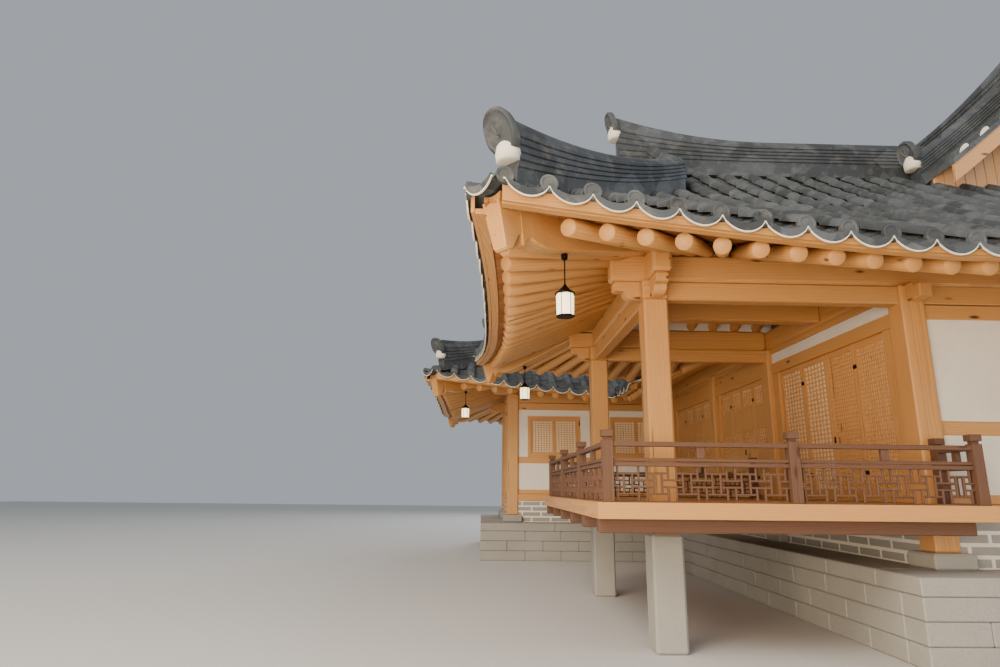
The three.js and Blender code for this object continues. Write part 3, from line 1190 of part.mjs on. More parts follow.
const frontStops = evenly(railLeft, RAIL_END, 2);
const backStops = evenly(railLeft, pavilionEdge - RAIL_POST / 2, 2);
const leftStops = evenly(railFront, railBack, 3);
add('front_railing', 'weathered', [join([
  ...frontStops.map((x) => railPost(x, railFront)),
  ...railRun({ along: 'x', line: railFront }, frontStops),
])]);
add('return_railing', 'weathered', [join([
  railPost(RAIL_END, returnEnd),
  railPanel({ along: 'y', line: RAIL_END }, railFront, returnEnd),
]).subtract(railPost(RAIL_END, railFront))]);
add('back_railing', 'weathered', [join([
  ...backStops.map((x) => railPost(x, railBack)),
  ...railRun({ along: 'x', line: railBack }, backStops),
])]);
add('left_railing', 'weathered', [join([
  ...leftStops.slice(1, -1).map((y) => railPost(railLeft, y)),
  ...railRun({ along: 'y', line: railLeft }, leftStops),
]).subtract(join([railPost(railLeft, railFront), railPost(railLeft, railBack)]))]);

// Lanterns: glass cylinders on iron rods under the hip rafters that face the court and the front

const LANTERN = { out: 1060, radius: 85, top: 3170, under: 2905, rod: 8, plate: 30 };
const LANTERN_SHAPE = { foot: 0.9, brim: 1.1, neck: 0.4, curve: 20, band: 40, lip: 5 };

function lantern(corner) {
  const distance = OVERHANG - LANTERN.out;
  const r = LANTERN.radius;
  const seat = HIP_TIP_UNDER - NOTCH + HIP_UNDER_SLOPE * (distance - HIP_TIP_DISTANCE)
    - LANTERN.plate * HIP_UNDER_SLOPE / Math.SQRT2 - SEAM;
  const { foot, brim, neck, curve, band, lip } = LANTERN_SHAPE;
  const profile = [[0, LANTERN.under], [r * foot, LANTERN.under], [r, LANTERN.under + curve],
    [r, LANTERN.top - band], [r * brim, LANTERN.top - band + lip], [r * neck, LANTERN.top],
    [LANTERN.rod, LANTERN.top + curve], [LANTERN.rod, seat - curve], [LANTERN.plate, seat - curve / 2],
    [LANTERN.plate, seat], [0, seat]];
  const geometry = new THREE.LatheGeometry(profile.map(([a, z]) => new THREE.Vector2(a, z)), 8);
  geometry.rotateX(Math.PI / 2);
  geometry.translate(corner.x + corner.inX * distance, corner.y + corner.inY * distance, 0);
  return solid(geometry);
}

add('front_lantern', 'glass', [lantern(CORNERS.pavilionFront)]);
add('court_lantern', 'glass', [lantern(CORNERS.pavilionBack)]);
add('back_wing_lantern', 'glass', [lantern(CORNERS.backFront)]);

const middle = new THREE.Box3().setFromObject(house).getCenter(new THREE.Vector3());
house.position.set(-middle.x, -middle.y, 0);

export default house;
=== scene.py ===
import math
from itertools import pairwise, product

import bmesh
import bpy
import numpy as np
from mathutils import Matrix, Vector


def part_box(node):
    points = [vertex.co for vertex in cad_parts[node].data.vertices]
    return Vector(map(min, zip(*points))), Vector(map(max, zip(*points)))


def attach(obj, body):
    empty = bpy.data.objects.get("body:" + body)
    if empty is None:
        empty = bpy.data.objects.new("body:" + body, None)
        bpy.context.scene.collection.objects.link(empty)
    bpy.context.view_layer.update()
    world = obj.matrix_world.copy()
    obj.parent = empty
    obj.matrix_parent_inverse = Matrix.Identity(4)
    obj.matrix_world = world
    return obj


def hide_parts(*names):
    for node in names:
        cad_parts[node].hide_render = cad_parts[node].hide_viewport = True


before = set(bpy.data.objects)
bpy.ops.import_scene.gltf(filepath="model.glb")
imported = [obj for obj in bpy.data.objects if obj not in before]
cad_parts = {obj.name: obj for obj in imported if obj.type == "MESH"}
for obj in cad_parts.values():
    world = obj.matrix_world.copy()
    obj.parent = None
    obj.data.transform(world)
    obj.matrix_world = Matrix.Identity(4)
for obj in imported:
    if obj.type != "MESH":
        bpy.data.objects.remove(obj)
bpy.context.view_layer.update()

# Camera: it stands low in front of the pavilion's left corner and looks up under the eaves.
# The focal length is in pixels of an image 1000 pixels wide.
FOCAL_PIXELS = 642
IMAGE_WIDTH = 1000
PITCH, YAW, ROLL = (math.radians(a) for a in (13.61, 1.47, 0.622))
STANDPOINT = Vector((-5.278, -12.394, 1.45))

lens = bpy.data.cameras.new("camera")
lens.sensor_width = 36
lens.lens = lens.sensor_width * FOCAL_PIXELS / IMAGE_WIDTH
lens.clip_end = 200
camera = bpy.data.objects.new("camera", lens)
ahead = Vector((math.sin(YAW) * math.cos(PITCH), math.cos(YAW) * math.cos(PITCH), math.sin(PITCH)))
level = ahead.cross(Vector((0, 0, 1))).normalized()
upright = level.cross(ahead)
rolled_right = level * math.cos(ROLL) + upright * math.sin(ROLL)
rolled_up = upright * math.cos(ROLL) - level * math.sin(ROLL)
camera.matrix_world = Matrix.Translation(STANDPOINT) @ Matrix(
    (rolled_right, rolled_up, -ahead)).transposed().to_4x4()
bpy.context.scene.collection.objects.link(camera)
bpy.context.scene.camera = camera


# Studio: a plain pale floor, a pale sky all round and broad soft lamps. A low one in front
# lights the undersides of the eaves.
def linear(code):
    """sRGB hex to linear: c / 12.92 up to 0.04045, and ((c + 0.055) / 1.055) to the 2.4 above."""
    values = [int(code[i:i + 2], 16) / 255 for i in (1, 3, 5)]
    return [c / 12.92 if c <= 0.04045 else ((c + 0.055) / 1.055) ** 2.4 for c in values] + [1]


def finish(name, colour, roughness):
    """A new material with a plain colour and roughness on its shader, which nodes may then vary."""
    material = bpy.data.materials.new(name)
    material.use_nodes = True
    shader = material.node_tree.nodes["Principled BSDF"]
    shader.inputs["Base Color"].default_value = linear(colour)
    shader.inputs["Roughness"].default_value = roughness
    return material, shader


FLOOR_SIZE = 90
floor_mesh = bpy.data.meshes.new("studio_floor")
half_floor = FLOOR_SIZE / 2
floor_mesh.from_pydata([(-half_floor, -half_floor, 0), (half_floor, -half_floor, 0),
                        (half_floor, half_floor, 0), (-half_floor, half_floor, 0)], [], [(0, 1, 2, 3)])
studio_floor = bpy.data.objects.new("studio_floor", floor_mesh)
bpy.context.scene.collection.objects.link(studio_floor)
floor_mesh.materials.append(finish("matt_studio_floor", "#C9C7C2", 0.9)[0])

sky = bpy.data.worlds.new("studio")
sky.use_nodes = True
sky.node_tree.nodes["Background"].inputs["Color"].default_value = linear("#DCE3EC")
sky.node_tree.nodes["Background"].inputs["Strength"].default_value = 0.55
bpy.context.scene.world = sky


def lamp(name, place, target, size, power, colour):
    """A square soft lamp at a place, turned towards a target point."""
    light = bpy.data.lights.new(name, "AREA")
    light.size = size
    light.energy = power
    light.color = linear(colour)[:3]
    holder = bpy.data.objects.new(name, light)
    holder.location = place
    holder.rotation_euler = (Vector(target) - Vector(place)).to_track_quat("-Z", "Y").to_euler()
    bpy.context.scene.collection.objects.link(holder)


lamp("key_lamp", (-16, -18, 16), (0, -2, 3), 12, 5200, "#FFF3E2")
lamp("fill_lamp", (17, -14, 12), (0, 0, 3), 14, 2600, "#EAF1FF")
lamp("back_lamp", (2, 22, 15), (0, 2, 3), 14, 2600, "#F4F6FF")
lamp("low_lamp", (-9, -15, 0.8), (-1, -4, 3.6), 7, 2300, "#FFE9CC")


# Stone platforms: dressed granite blocks in three courses under a ring of broad coping stones,
# with square flagstones inside the ring. Each has softened arrises and stands on the one below.
BAY = 2.7
X_COURT, X_MIDDLE, X_RIGHT = BAY, 2 * BAY, 3 * BAY
Y_PAVILION = 3.24
Y_COURT = Y_PAVILION + 2.4
Y_BACK = Y_COURT + 2.7
Y_REAR = Y_BACK + 3.6
X_BACK_MIDDLE = X_COURT - 1.885
X_BACK_LEFT = X_COURT - 2 * 1.885
Y_BACK_MIDDLE = (Y_BACK + Y_REAR) / 2
PLAN_MIDDLE = np.array([3.515, 5.970, 0])
PLATFORM_TOP, PLATFORM_REACH = 0.75, 0.7
FACING_COURSES, FACING_DEPTH, FACING_LENGTH = 3, 0.3, 0.75
COPING, COPING_WIDTH, COPING_LENGTH = 0.16, 0.66, 1.2
STONE_ARRIS, STONE_JOINT = 0.012, 0.0015
FLAGSTONE, FLAG_SUNK, FLAG_ARRIS, FLAG_JOINT = 0.7, 0.004, 0.01, 0.004


def node(material, kind, inputs=None, **settings):
    """Adds a node with its settings. An input is a number, a colour, an output that is linked to
    it, or a node whose first output is."""
    added = material.node_tree.nodes.new(f"ShaderNode{kind}")
    for name, value in settings.items():
        setattr(added, name, value)
    for name, value in (inputs or {}).items():
        if isinstance(value, bpy.types.Node):
            value = next(output for output in value.outputs if output.enabled)
        if isinstance(value, bpy.types.NodeSocket):
            material.node_tree.links.new(value, added.inputs[name])
        else:
            added.inputs[name].default_value = value
    return added


def colours(material, shader, under, *layers):
    """Lays colours over the first one, each as far as its own factor says."""
    mixed = linear(under)
    for factor, colour in layers:
        mixed = node(material, "Mix", {"Factor": factor, "A": mixed, "B": linear(colour)}, data_type="RGBA")
    material.node_tree.links.new(mixed.outputs["Result"], shader.inputs["Base Color"])


def wear(material, shader, height, strength, depth):
    """Links a height to the shader's normal: strength is from 0 to 1, depth is in metres."""
    bump = node(material, "Bump", {"Height": height, "Strength": strength, "Distance": depth})
    material.node_tree.links.new(bump.outputs["Normal"], shader.inputs["Normal"])


# Granite, dressed with a point: pale grey with dark and light grains 4 mm across, which the
# eye reads as speckle, soft stains half a metre wide, and a pitted face.
granite, granite_shader = finish("dressed_granite", "#A39F96", 0.85)
place = node(granite, "TexCoord").outputs["Object"]
speckle = node(granite, "TexNoise", {"Vector": place, "Scale": 110, "Detail": 3, "Roughness": 0.7})
stain = node(granite, "TexNoise", {"Vector": place, "Scale": 1.7, "Detail": 4})
colours(granite, granite_shader, "#6F6C67", (speckle, "#CBC7BD"), (stain, "#8F8B80"))
pits = node(granite, "TexNoise", {"Vector": place, "Scale": 38, "Detail": 5, "Roughness": 0.65})
wear(granite, granite_shader, pits, 0.55, 0.006)


def block_faces():
    """Faces of a block whose 8 corners are each cut to a triangle: point 3c + a is corner c on
    the face across axis a. There are 6 faces, 12 edges and 8 corners, all facing outwards."""
    corners = list(product((-1, 1), repeat=3))
    at = {corner: 3 * i for i, corner in enumerate(corners)}
    faces = []
    for a in range(3):
        b, c = (a + 1) % 3, (a + 2) % 3
        for s in (-1, 1):
            ring = []
            for sb, sc in ((-1, -1), (1, -1), (1, 1), (-1, 1)):
                corner = [0, 0, 0]
                corner[a], corner[b], corner[c] = s, sb, sc
                ring.append(at[tuple(corner)] + a)
            faces.append(ring[::s])
        for sb, sc in product((-1, 1), repeat=2):
            ends = []
            for s in (-1, 1):
                corner = [0, 0, 0]
                corner[a], corner[b], corner[c] = s, sb, sc
                ends.append(at[tuple(corner)])
            faces.append([ends[0] + b, ends[1] + b, ends[1] + c, ends[0] + c][::-sb * sc])
    for corner, first in at.items():
        faces.append([first, first + 1, first + 2][::corner[0] * corner[1] * corner[2]])
    return faces


BLOCK_FACES = block_faces()
BLOCK_QUADS = np.array([f for f in BLOCK_FACES if len(f) == 4])
BLOCK_CORNERS = np.array([f for f in BLOCK_FACES if len(f) == 3])
BLOCK_SIGNS = np.repeat(np.array(list(product((-1, 1), repeat=3))), 3, axis=0)
BLOCK_KEEPS = np.tile(np.eye(3), (8, 1))


def blocks(boxes, chamfer, joint=0):
    """Blocks with chamfered edges from boxes of x0, x1, y0, y1, z0, z1, each smaller all round by
    a joint. A point is its signs times the half sizes, less the chamfer on the two axes that its
    face doesn't cross. Also returns each point's place along and across its own block."""
    ends = np.array(boxes, float).reshape(-1, 3, 2)
    middles = ends.mean(axis=2)
    halves = (ends[:, :, 1] - ends[:, :, 0]) / 2 - joint
    own = BLOCK_SIGNS * (halves[:, None] - chamfer * (1 - BLOCK_KEEPS))
    order = np.argsort(-halves, axis=1)
    grain = np.take_along_axis(own, order[:, None], axis=2) + shifts(len(middles))[:, None]
    points = (own + middles[:, None]).reshape(-1, 3)
    starts = 24 * np.arange(len(middles))[:, None, None]
    faces = (BLOCK_QUADS + starts).reshape(-1, 4).tolist() + (BLOCK_CORNERS + starts).reshape(-1, 3).tolist()
    return points, faces, grain.reshape(-1, 3)


GOLDEN = 0.618034


def shifts(count):
    """A different start in the grain for each of a row of pieces, from multiples of the golden ratio."""
    turn = np.arange(count) * GOLDEN
    return np.stack([turn * 7 % 5, turn * 3 % 1.4 - 0.7, turn * 5 % 1.4 - 0.7], axis=1)


def merge(*parts):
    """Joins parts of points, faces and grain into one."""
    starts = np.cumsum([0] + [len(part[0]) for part in parts])
    faces = [[i + start for i in face] for part, start in zip(parts, starts) for face in part[1]]
    return np.concatenate([part[0] for part in parts]), faces, np.concatenate([part[2] for part in parts])


WELD = 1e-5


def piece(name, part, material, replaced=(), smooth=None, clean=False, turn_out=False):
    """Makes an object of points, faces and grain, moved from the plan onto the frame's origin.
    smooth is the angle in degrees under which edges are rounded off in shading. clean welds
    points that meet, and turn_out turns all faces outwards."""
    points, faces, grain = part
    mesh = bpy.data.meshes.new(name)
    mesh.from_pydata((np.asarray(points) - PLAN_MIDDLE).tolist(), [], faces)
    if grain is not None:
        lines = mesh.attributes.new("grain", "FLOAT_VECTOR", "POINT")
        lines.data.foreach_set("vector", np.asarray(grain, np.float32).ravel())
    if clean or turn_out:
        kept = bmesh.new()
        kept.from_mesh(mesh)
        if clean:
            bmesh.ops.remove_doubles(kept, verts=kept.verts, dist=WELD)
            bmesh.ops.dissolve_degenerate(kept, edges=kept.edges, dist=WELD)
        if turn_out:
            bmesh.ops.recalc_face_normals(kept, faces=kept.faces)
        kept.to_mesh(mesh)
        kept.free()
    if smooth is not None:
        mesh.shade_smooth()
        mesh.set_sharp_from_angle(angle=math.radians(smooth))
    mesh.materials.append(material)
    made = bpy.data.objects.new(name, mesh)
    bpy.context.scene.collection.objects.link(made)
    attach(made, "root")
    if replaced:
        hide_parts(*replaced)


def cuts(a, b, size, shift):
    """Joints of a row of stones from a to b, about one size apart and moved by a share of it."""
    count = max(1, round((b - a) / size))
    inner = a + (np.arange(1, count + 1) - 0.5 + shift) * (b - a) / count
    return [a] + [x for x in inner if a + size / 3 < x < b - size / 3] + [b]


def facing(x0, x1, y0, y1, levels, depth, size):
    """Stones round a rectangle in courses between levels, with the joints staggered by course."""
    stones = []
    for row, (z0, z1) in enumerate(pairwise(levels)):
        shift = (row % 2 - 0.5) / 2
        for a, b in pairwise(cuts(x0, x1, size, shift)):
            stones += [(a, b, y0, y0 + depth, z0, z1), (a, b, y1 - depth, y1, z0, z1)]
        for a, b in pairwise(cuts(y0 + depth, y1 - depth, size, -shift)):
            stones += [(x0, x0 + depth, a, b, z0, z1), (x1 - depth, x1, a, b, z0, z1)]
    return stones


def platform(name, x0, x1, y0, y1):
    """Facing stones with copings on them, and flagstones in the rectangle that these leave open."""
    under = PLATFORM_TOP - COPING
    levels = np.linspace(0, under, FACING_COURSES + 1)
    stones = facing(x0, x1, y0, y1, levels, FACING_DEPTH, FACING_LENGTH)
    copings = facing(x0, x1, y0, y1, [under, PLATFORM_TOP], COPING_WIDTH, COPING_LENGTH)
    piece(f"{name}_stones", blocks(stones + copings, STONE_ARRIS, STONE_JOINT), granite, [name])
    across = cuts(x0 + COPING_WIDTH, x1 - COPING_WIDTH, FLAGSTONE, 0)
    along = cuts(y0 + COPING_WIDTH, y1 - COPING_WIDTH, FLAGSTONE, 0)
    flags = [(*xs, *ys, under, PLATFORM_TOP - FLAG_SUNK)
             for xs, ys in product(pairwise(across), pairwise(along))]
    piece(f"{name}_flagstones", blocks(flags, FLAG_ARRIS, FLAG_JOINT), granite)


platform("wing_platform", X_COURT - PLATFORM_REACH, X_RIGHT + PLATFORM_REACH,
         -PLATFORM_REACH, Y_REAR + PLATFORM_REACH)
platform("back_wing_platform", X_BACK_LEFT - PLATFORM_REACH, X_COURT - PLATFORM_REACH,
         Y_BACK - PLATFORM_REACH, Y_REAR + PLATFORM_REACH)


# Footings: square base stones carry the columns, and between them a low wall of split stones
# set in lime closes the space under the floor. Two tall stone posts lift the pavilion.
BASE_STONE, BASE_STONE_TOP, BASE_ARRIS = 0.42, 0.9, 0.02
FLOOR_UNDER = 1.2
STONE_POST, STONE_POST_TOP, STONE_POST_ARRIS = 0.3, 1.05, 0.022
FOOTING, FOOTING_COURSES = 0.2, 4
SPLIT_STONE, SPLIT_ARRIS, SPLIT_JOINT = 0.42, 0.014, 0.008
MORTAR_SUNK, MORTAR_LENGTH, MORTAR_ARRIS = 0.012, 9, 0.004
COLUMN = 0.25
PAVILION_POSTS = {"front": (0, 0), "back": (0, Y_PAVILION)}

# Lime plaster, trowelled: warm white, with faint clouds from the trowel and a chalky surface.
plaster, plaster_shader = finish("trowelled_lime_plaster", "#E6DFD0", 0.92)
place = node(plaster, "TexCoord").outputs["Object"]
clouds = node(plaster, "TexNoise", {"Vector": place, "Scale": 2.4, "Detail": 6, "Roughness": 0.6})
colours(plaster, plaster_shader, "#D9CFBC", (clouds, "#F1EBDE"))
trowel = node(plaster, "TexNoise", {"Vector": place, "Scale": 14, "Detail": 5})
wear(plaster, plaster_shader, trowel, 0.35, 0.004)

SIDES = {
    "front": ("x", 0, [X_COURT, X_MIDDLE, X_RIGHT]),
    "right": ("y", X_RIGHT, [0, Y_PAVILION, Y_COURT, Y_BACK, Y_BACK_MIDDLE, Y_REAR]),
    "rear": ("x", Y_REAR, [X_BACK_LEFT, X_BACK_MIDDLE, X_COURT, X_MIDDLE, X_RIGHT]),
    "back_front": ("x", Y_BACK, [X_BACK_LEFT, X_BACK_MIDDLE, X_COURT]),
    "back_left": ("y", X_BACK_LEFT, [Y_BACK, Y_BACK_MIDDLE, Y_REAR]),
    "court": ("y", X_COURT, [0, Y_PAVILION, Y_COURT, Y_BACK]),
}
COLUMNS = sorted({(at, line) if along == "x" else (line, at)
                  for along, line, lines in SIDES.values() for at in lines})


def posts(places, width, z0, z1):
    """Upright square posts of one width on plan places."""
    half = width / 2
    return [(x - half, x + half, y - half, y + half, z0, z1) for x, y in places]


def footing(name, places, x0, x1, y0, y1):
    """Split stones between the base stones at some places, and the mortar in their joints."""
    levels = np.linspace(PLATFORM_TOP, FLOOR_UNDER, FOOTING_COURSES + 1)
    stones = blocks(facing(x0, x1, y0, y1, levels, FOOTING, SPLIT_STONE), SPLIT_ARRIS, SPLIT_JOINT)
    bases = blocks(posts(places, BASE_STONE, PLATFORM_TOP, BASE_STONE_TOP), BASE_ARRIS)
    piece(f"{name}_stones", merge(stones, bases), granite, [name])
    backing = facing(x0 + MORTAR_SUNK, x1 - MORTAR_SUNK, y0 + MORTAR_SUNK, y1 - MORTAR_SUNK,
                     [PLATFORM_TOP, FLOOR_UNDER], FOOTING - 2 * MORTAR_SUNK, MORTAR_LENGTH)
    piece(f"{name}_mortar", blocks(backing, MORTAR_ARRIS), plaster)


half_footing = FOOTING / 2
footing("wing_footing", [p for p in COLUMNS if p[0] >= X_COURT], X_COURT - half_footing,
        X_RIGHT + half_footing, -half_footing, Y_REAR + half_footing)
footing("back_wing_footing", [p for p in COLUMNS if p[0] < X_COURT], X_BACK_LEFT - half_footing,
        X_COURT - half_footing, Y_BACK - half_footing, Y_REAR + half_footing)
for name, place in PAVILION_POSTS.items():
    shaft = blocks(posts([place], STONE_POST, 0, STONE_POST_TOP), STONE_POST_ARRIS)
    piece(f"{name}_stone_post_dressed", shaft, granite, [f"{name}_stone_post"])


# Timber frame: square pine columns with chamfered arrises, planed and oiled to a honey colour.
# Their long drying cracks are part of the look.
COLUMN_TOP, LINTEL = 3.58, 3.38
COLUMN_ARRIS = 0.018


def pine_finish(name, pale, dark, rough, ring_gap):
    """Planed softwood. Its rings run round the heart of each timber at the ring gap, drawn three
    times as coarse as real ones so that they show, and come out as long flames on the faces.
    Fine fibres, scattered knots and long drying cracks lie on top."""
    wood, shader = finish(name, pale, rough)
    grain = node(wood, "Attribute", attribute_name="grain").outputs["Vector"]
    rings_place = node(wood, "Mapping", {"Vector": grain, "Scale": (0.06, 1, 1)})
    sway = node(wood, "TexNoise", {"Vector": rings_place, "Scale": 5, "Detail": 2}).outputs["Color"]
    push = node(wood, "VectorMath", {0: sway, "Scale": 0.09}, operation="SCALE")
    swayed = node(wood, "VectorMath", {0: rings_place, 1: push}, operation="ADD")
    rings = node(wood, "TexWave", {"Vector": swayed, "Scale": math.tau / 20 / ring_gap,
                                   "Distortion": 1.2, "Detail": 2, "Detail Scale": 2},
                 wave_type="RINGS", rings_direction="X", wave_profile="SAW").outputs["Fac"]
    fibre_place = node(wood, "Mapping", {"Vector": grain, "Scale": (3, 130, 130)})
    fibres = node(wood, "TexNoise", {"Vector": fibre_place, "Scale": 1, "Detail": 4})
    knot_place = node(wood, "Mapping", {"Vector": grain, "Scale": (1.6, 5, 5)})
    knots = node(wood, "TexVoronoi", {"Vector": knot_place, "Scale": 1, "Randomness": 1})
    knot = node(wood, "MapRange", {"Value": knots, "From Min": 0.05, "From Max": 0.12,
                                   "To Min": 1, "To Max": 0})
    crack_place = node(wood, "Mapping", {"Vector": grain, "Scale": (0.45, 14, 14)})
    crack_field = node(wood, "TexNoise", {"Vector": crack_place, "Scale": 1, "Detail": 3})
    crack = node(wood, "MapRange", {"Value": crack_field, "From Min": 0.27, "From Max": 0.31,
                                    "To Min": 1, "To Max": 0})
    colours(wood, shader, pale, (rings, dark), (fibres, pale), (knot, "#4A2410"), (crack, "#2E180C"))
    relief = node(wood, "Math", {0: fibres, 1: crack}, operation="SUBTRACT")
    wear(wood, shader, relief, 0.4, 0.003)
    return wood


pine = pine_finish("planed_honey_pine", "#D09A58", "#A86C34", 0.5, 0.016)
aged_pine = pine_finish("weathered_pine", "#6B4A34", "#3F281B", 0.75, 0.012)
columns = blocks(posts(COLUMNS, COLUMN, BASE_STONE_TOP, COLUMN_TOP), COLUMN_ARRIS)
piece("wing_columns", columns, pine)
for name, place in PAVILION_POSTS.items():
    piece(f"pavilion_{name}_post", blocks(posts([place], COLUMN, STONE_POST_TOP, LINTEL), COLUMN_ARRIS),
          pine, [f"pavilion_{name}_column"])


# Walls: beams at the sill and the head are let into the columns, and between them panels of
# lime plaster on lath fill the bays. Windows hang between the sill and the head.
FLOOR = 1.35
SILL, SILL_TOP = 2.02, 2.16
WALL_HEAD = 3.22
WALL, BEAM, FOOT_BEAM = 0.12, 0.14, 0.09
SEAM, HEAD_BEAM_OUT = 0.004, 0.02
BEAM_ARRIS, PANEL_ARRIS, LATTICE_ARRIS, PAPER_ARRIS = 0.008, 0.003, 0.0015, 0.0005
WINDOW_WIDTH, WINDOW_HEIGHT = 1.2, 0.92
WINDOW_FRAME, WINDOW_STILE, WINDOW_LEAF = 0.07, 0.042, 0.045
WINDOW_OUT, WINDOW_BARS_OUT, WINDOW_GAP, WINDOW_BAR = 0.02, 0.006, 0.002, 0.009
LATTICE_DEPTH, CROSS_BAR = 0.018, 0.8
PAPER_BEHIND, PAPER_SHEET = 0.012, 0.004
HALF_COLUMN = COLUMN / 2


def wall_box(along, line, a, b, thickness, z0, z1):
    """Box in a wall: a and b along it, the thickness across its line."""
    half = thickness / 2
    if along == "x":
        return (a, b, line - half, line + half, z0, z1)
    return (line - half, line + half, a, b, z0, z1)


def surround(along, line, a, b, z0, z1, thickness, stile, foot, head):
    """Four timbers round an opening: stiles at a and b, and a foot and a head rail between them."""
    return [wall_box(along, line, a, a + stile, thickness, z0, z1),
            wall_box(along, line, b - stile, b, thickness, z0, z1),
            wall_box(along, line, a + stile, b - stile, thickness, z0, z0 + foot),
            wall_box(along, line, a + stile, b - stile, thickness, z1 - head, z1)]


def bays(side):
    """Clear spans between the columns of a side."""
    return [(a + HALF_COLUMN, b - HALF_COLUMN) for a, b in pairwise(SIDES[side][2])]


def bars(along, line, a, b, z0, z1, columns, rows, width):
    """A lattice of thin bars: rows and columns spread evenly between the edges."""
    half = width / 2
    across = [wall_box(along, line, a, b, LATTICE_DEPTH * CROSS_BAR, z - half, z + half)
              for z in np.linspace(z0, z1, rows + 2)[1:-1]]
    upright = [wall_box(along, line, x - half, x + half, LATTICE_DEPTH, z0, z1)
               for x in np.linspace(a, b, columns + 2)[1:-1]]
    return across + upright


# Mulberry paper, pasted behind the bars: warm white with long loose fibres. Real mulberry paper
# lets some light through, but this finish is opaque.
paper, paper_shader = finish("mulberry_paper", "#EBDDBB", 0.85)
place = node(paper, "TexCoord").outputs["Object"]
fibre_place = node(paper, "Mapping", {"Vector": place, "Scale": (55, 55, 18)})
paper_fibres = node(paper, "TexNoise", {"Vector": fibre_place, "Scale": 1, "Detail": 6, "Distortion": 1.5})
colours(paper, paper_shader, "#DCC79C", (paper_fibres, "#F6EBD0"))


def window(along, line, a, b, outward):
    """Timbers and paper of a window with two leaves: a frame, stiles, rails and a lattice."""
    low, high = SILL_TOP + WINDOW_FRAME, SILL_TOP + WINDOW_HEIGHT - WINDOW_FRAME
    timbers = surround(along, line, a, b, SILL_TOP, SILL_TOP + WINDOW_HEIGHT, BEAM, *[WINDOW_FRAME] * 3)
    face = line + outward * WINDOW_OUT
    for c, d in pairwise((a + WINDOW_FRAME, (a + b) / 2, b - WINDOW_FRAME)):
        timbers += surround(along, face, c + WINDOW_GAP, d - WINDOW_GAP, low, high, WINDOW_LEAF,
                            WINDOW_STILE - WINDOW_GAP, WINDOW_STILE, WINDOW_STILE)
        timbers += bars(along, face + outward * WINDOW_BARS_OUT, c + WINDOW_STILE, d - WINDOW_STILE,
                        low + WINDOW_STILE, high - WINDOW_STILE, 6, 13, WINDOW_BAR)
    sheet = wall_box(along, face - outward * PAPER_BEHIND, a + WINDOW_FRAME, b - WINDOW_FRAME,
                     PAPER_SHEET, low, high)
    return timbers, sheet


def wall(side, node_name, paper_node, windowed, outward):
    """Beams, plaster panels and windows of the bays of a side. outward is the sign of the way out."""
    along, line, _ = SIDES[side]
    beams, panels, fine, sheets = [], [], [], []
    for a, b in bays(side):
        beams += [wall_box(along, line, a, b, BEAM, SILL, SILL_TOP),
                  wall_box(along, line, a, b, BEAM, FLOOR, FLOOR + FOOT_BEAM),
                  wall_box(along, line, a, b, BEAM, WALL_HEAD, LINTEL - SEAM),
                  wall_box(along, line, a, b, BEAM + HEAD_BEAM_OUT, LINTEL + SEAM, COLUMN_TOP)]
        panels.append(wall_box(along, line, a, b, WALL, FLOOR + FOOT_BEAM, SILL))
        left, right = (a + b - WINDOW_WIDTH) / 2, (a + b + WINDOW_WIDTH) / 2
        if windowed:
            panels += [wall_box(along, line, a, left, WALL, SILL_TOP, WALL_HEAD),
                       wall_box(along, line, right, b, WALL, SILL_TOP, WALL_HEAD),
                       wall_box(along, line, left, right, WALL, SILL_TOP + WINDOW_HEIGHT, WALL_HEAD)]
            timbers, sheet = window(along, line, left, right, outward)
            fine += timbers
            sheets.append(sheet)
        else:
            panels.append(wall_box(along, line, a, b, WALL, SILL_TOP, WALL_HEAD))
    piece(f"{node_name}_beams", blocks(beams, BEAM_ARRIS), pine, [node_name])
    piece(f"{node_name}_panels", blocks(panels, PANEL_ARRIS), plaster, [node_name])
    if windowed:
        piece(f"{node_name}_lattice", blocks(fine, LATTICE_ARRIS), pine, paper_node)
        piece(f"{node_name}_paper", blocks(sheets, PAPER_ARRIS), paper, paper_node)


wall("front", "front_wall", [], False, -1)
wall("right", "right_wall", ["right_window_paper"], True, 1)
wall("rear", "rear_wall", ["rear_window_paper"], True, 1)
wall("back_front", "back_wing_front_wall", ["back_wing_window_left", "back_wing_window_right"], True, -1)
wall("back_left", "back_wing_left_wall", ["back_wing_left_window_paper"], True, -1)


# Court side: under a deep head beam each bay has four folding leaves. The first bay has a plaster
# strip over them, and its two near leaves a fine square lattice. The others have wide-set bars,
# and those of the back bays boards between three groups of bars.
DOOR_SPANS = {"front": (0.37, 2.92), "middle": (3.5, 5.4), "rear": (5.9, 8.08)}
DOOR_SILL, DOOR_HEAD, DOOR_POST = 1.4, 3.19, 0.12
HEAD_TOP, COURT_LINTEL = 3.35, 3.5
COURT_SEAM, COURT_STRIP = 0.002, 0.09


def court_box(a, b, thickness, z0, z1, forward=0):
    """Box in the court wall, or forward of its line."""
    return wall_box("y", X_COURT - forward, a, b, thickness, z0, z1)


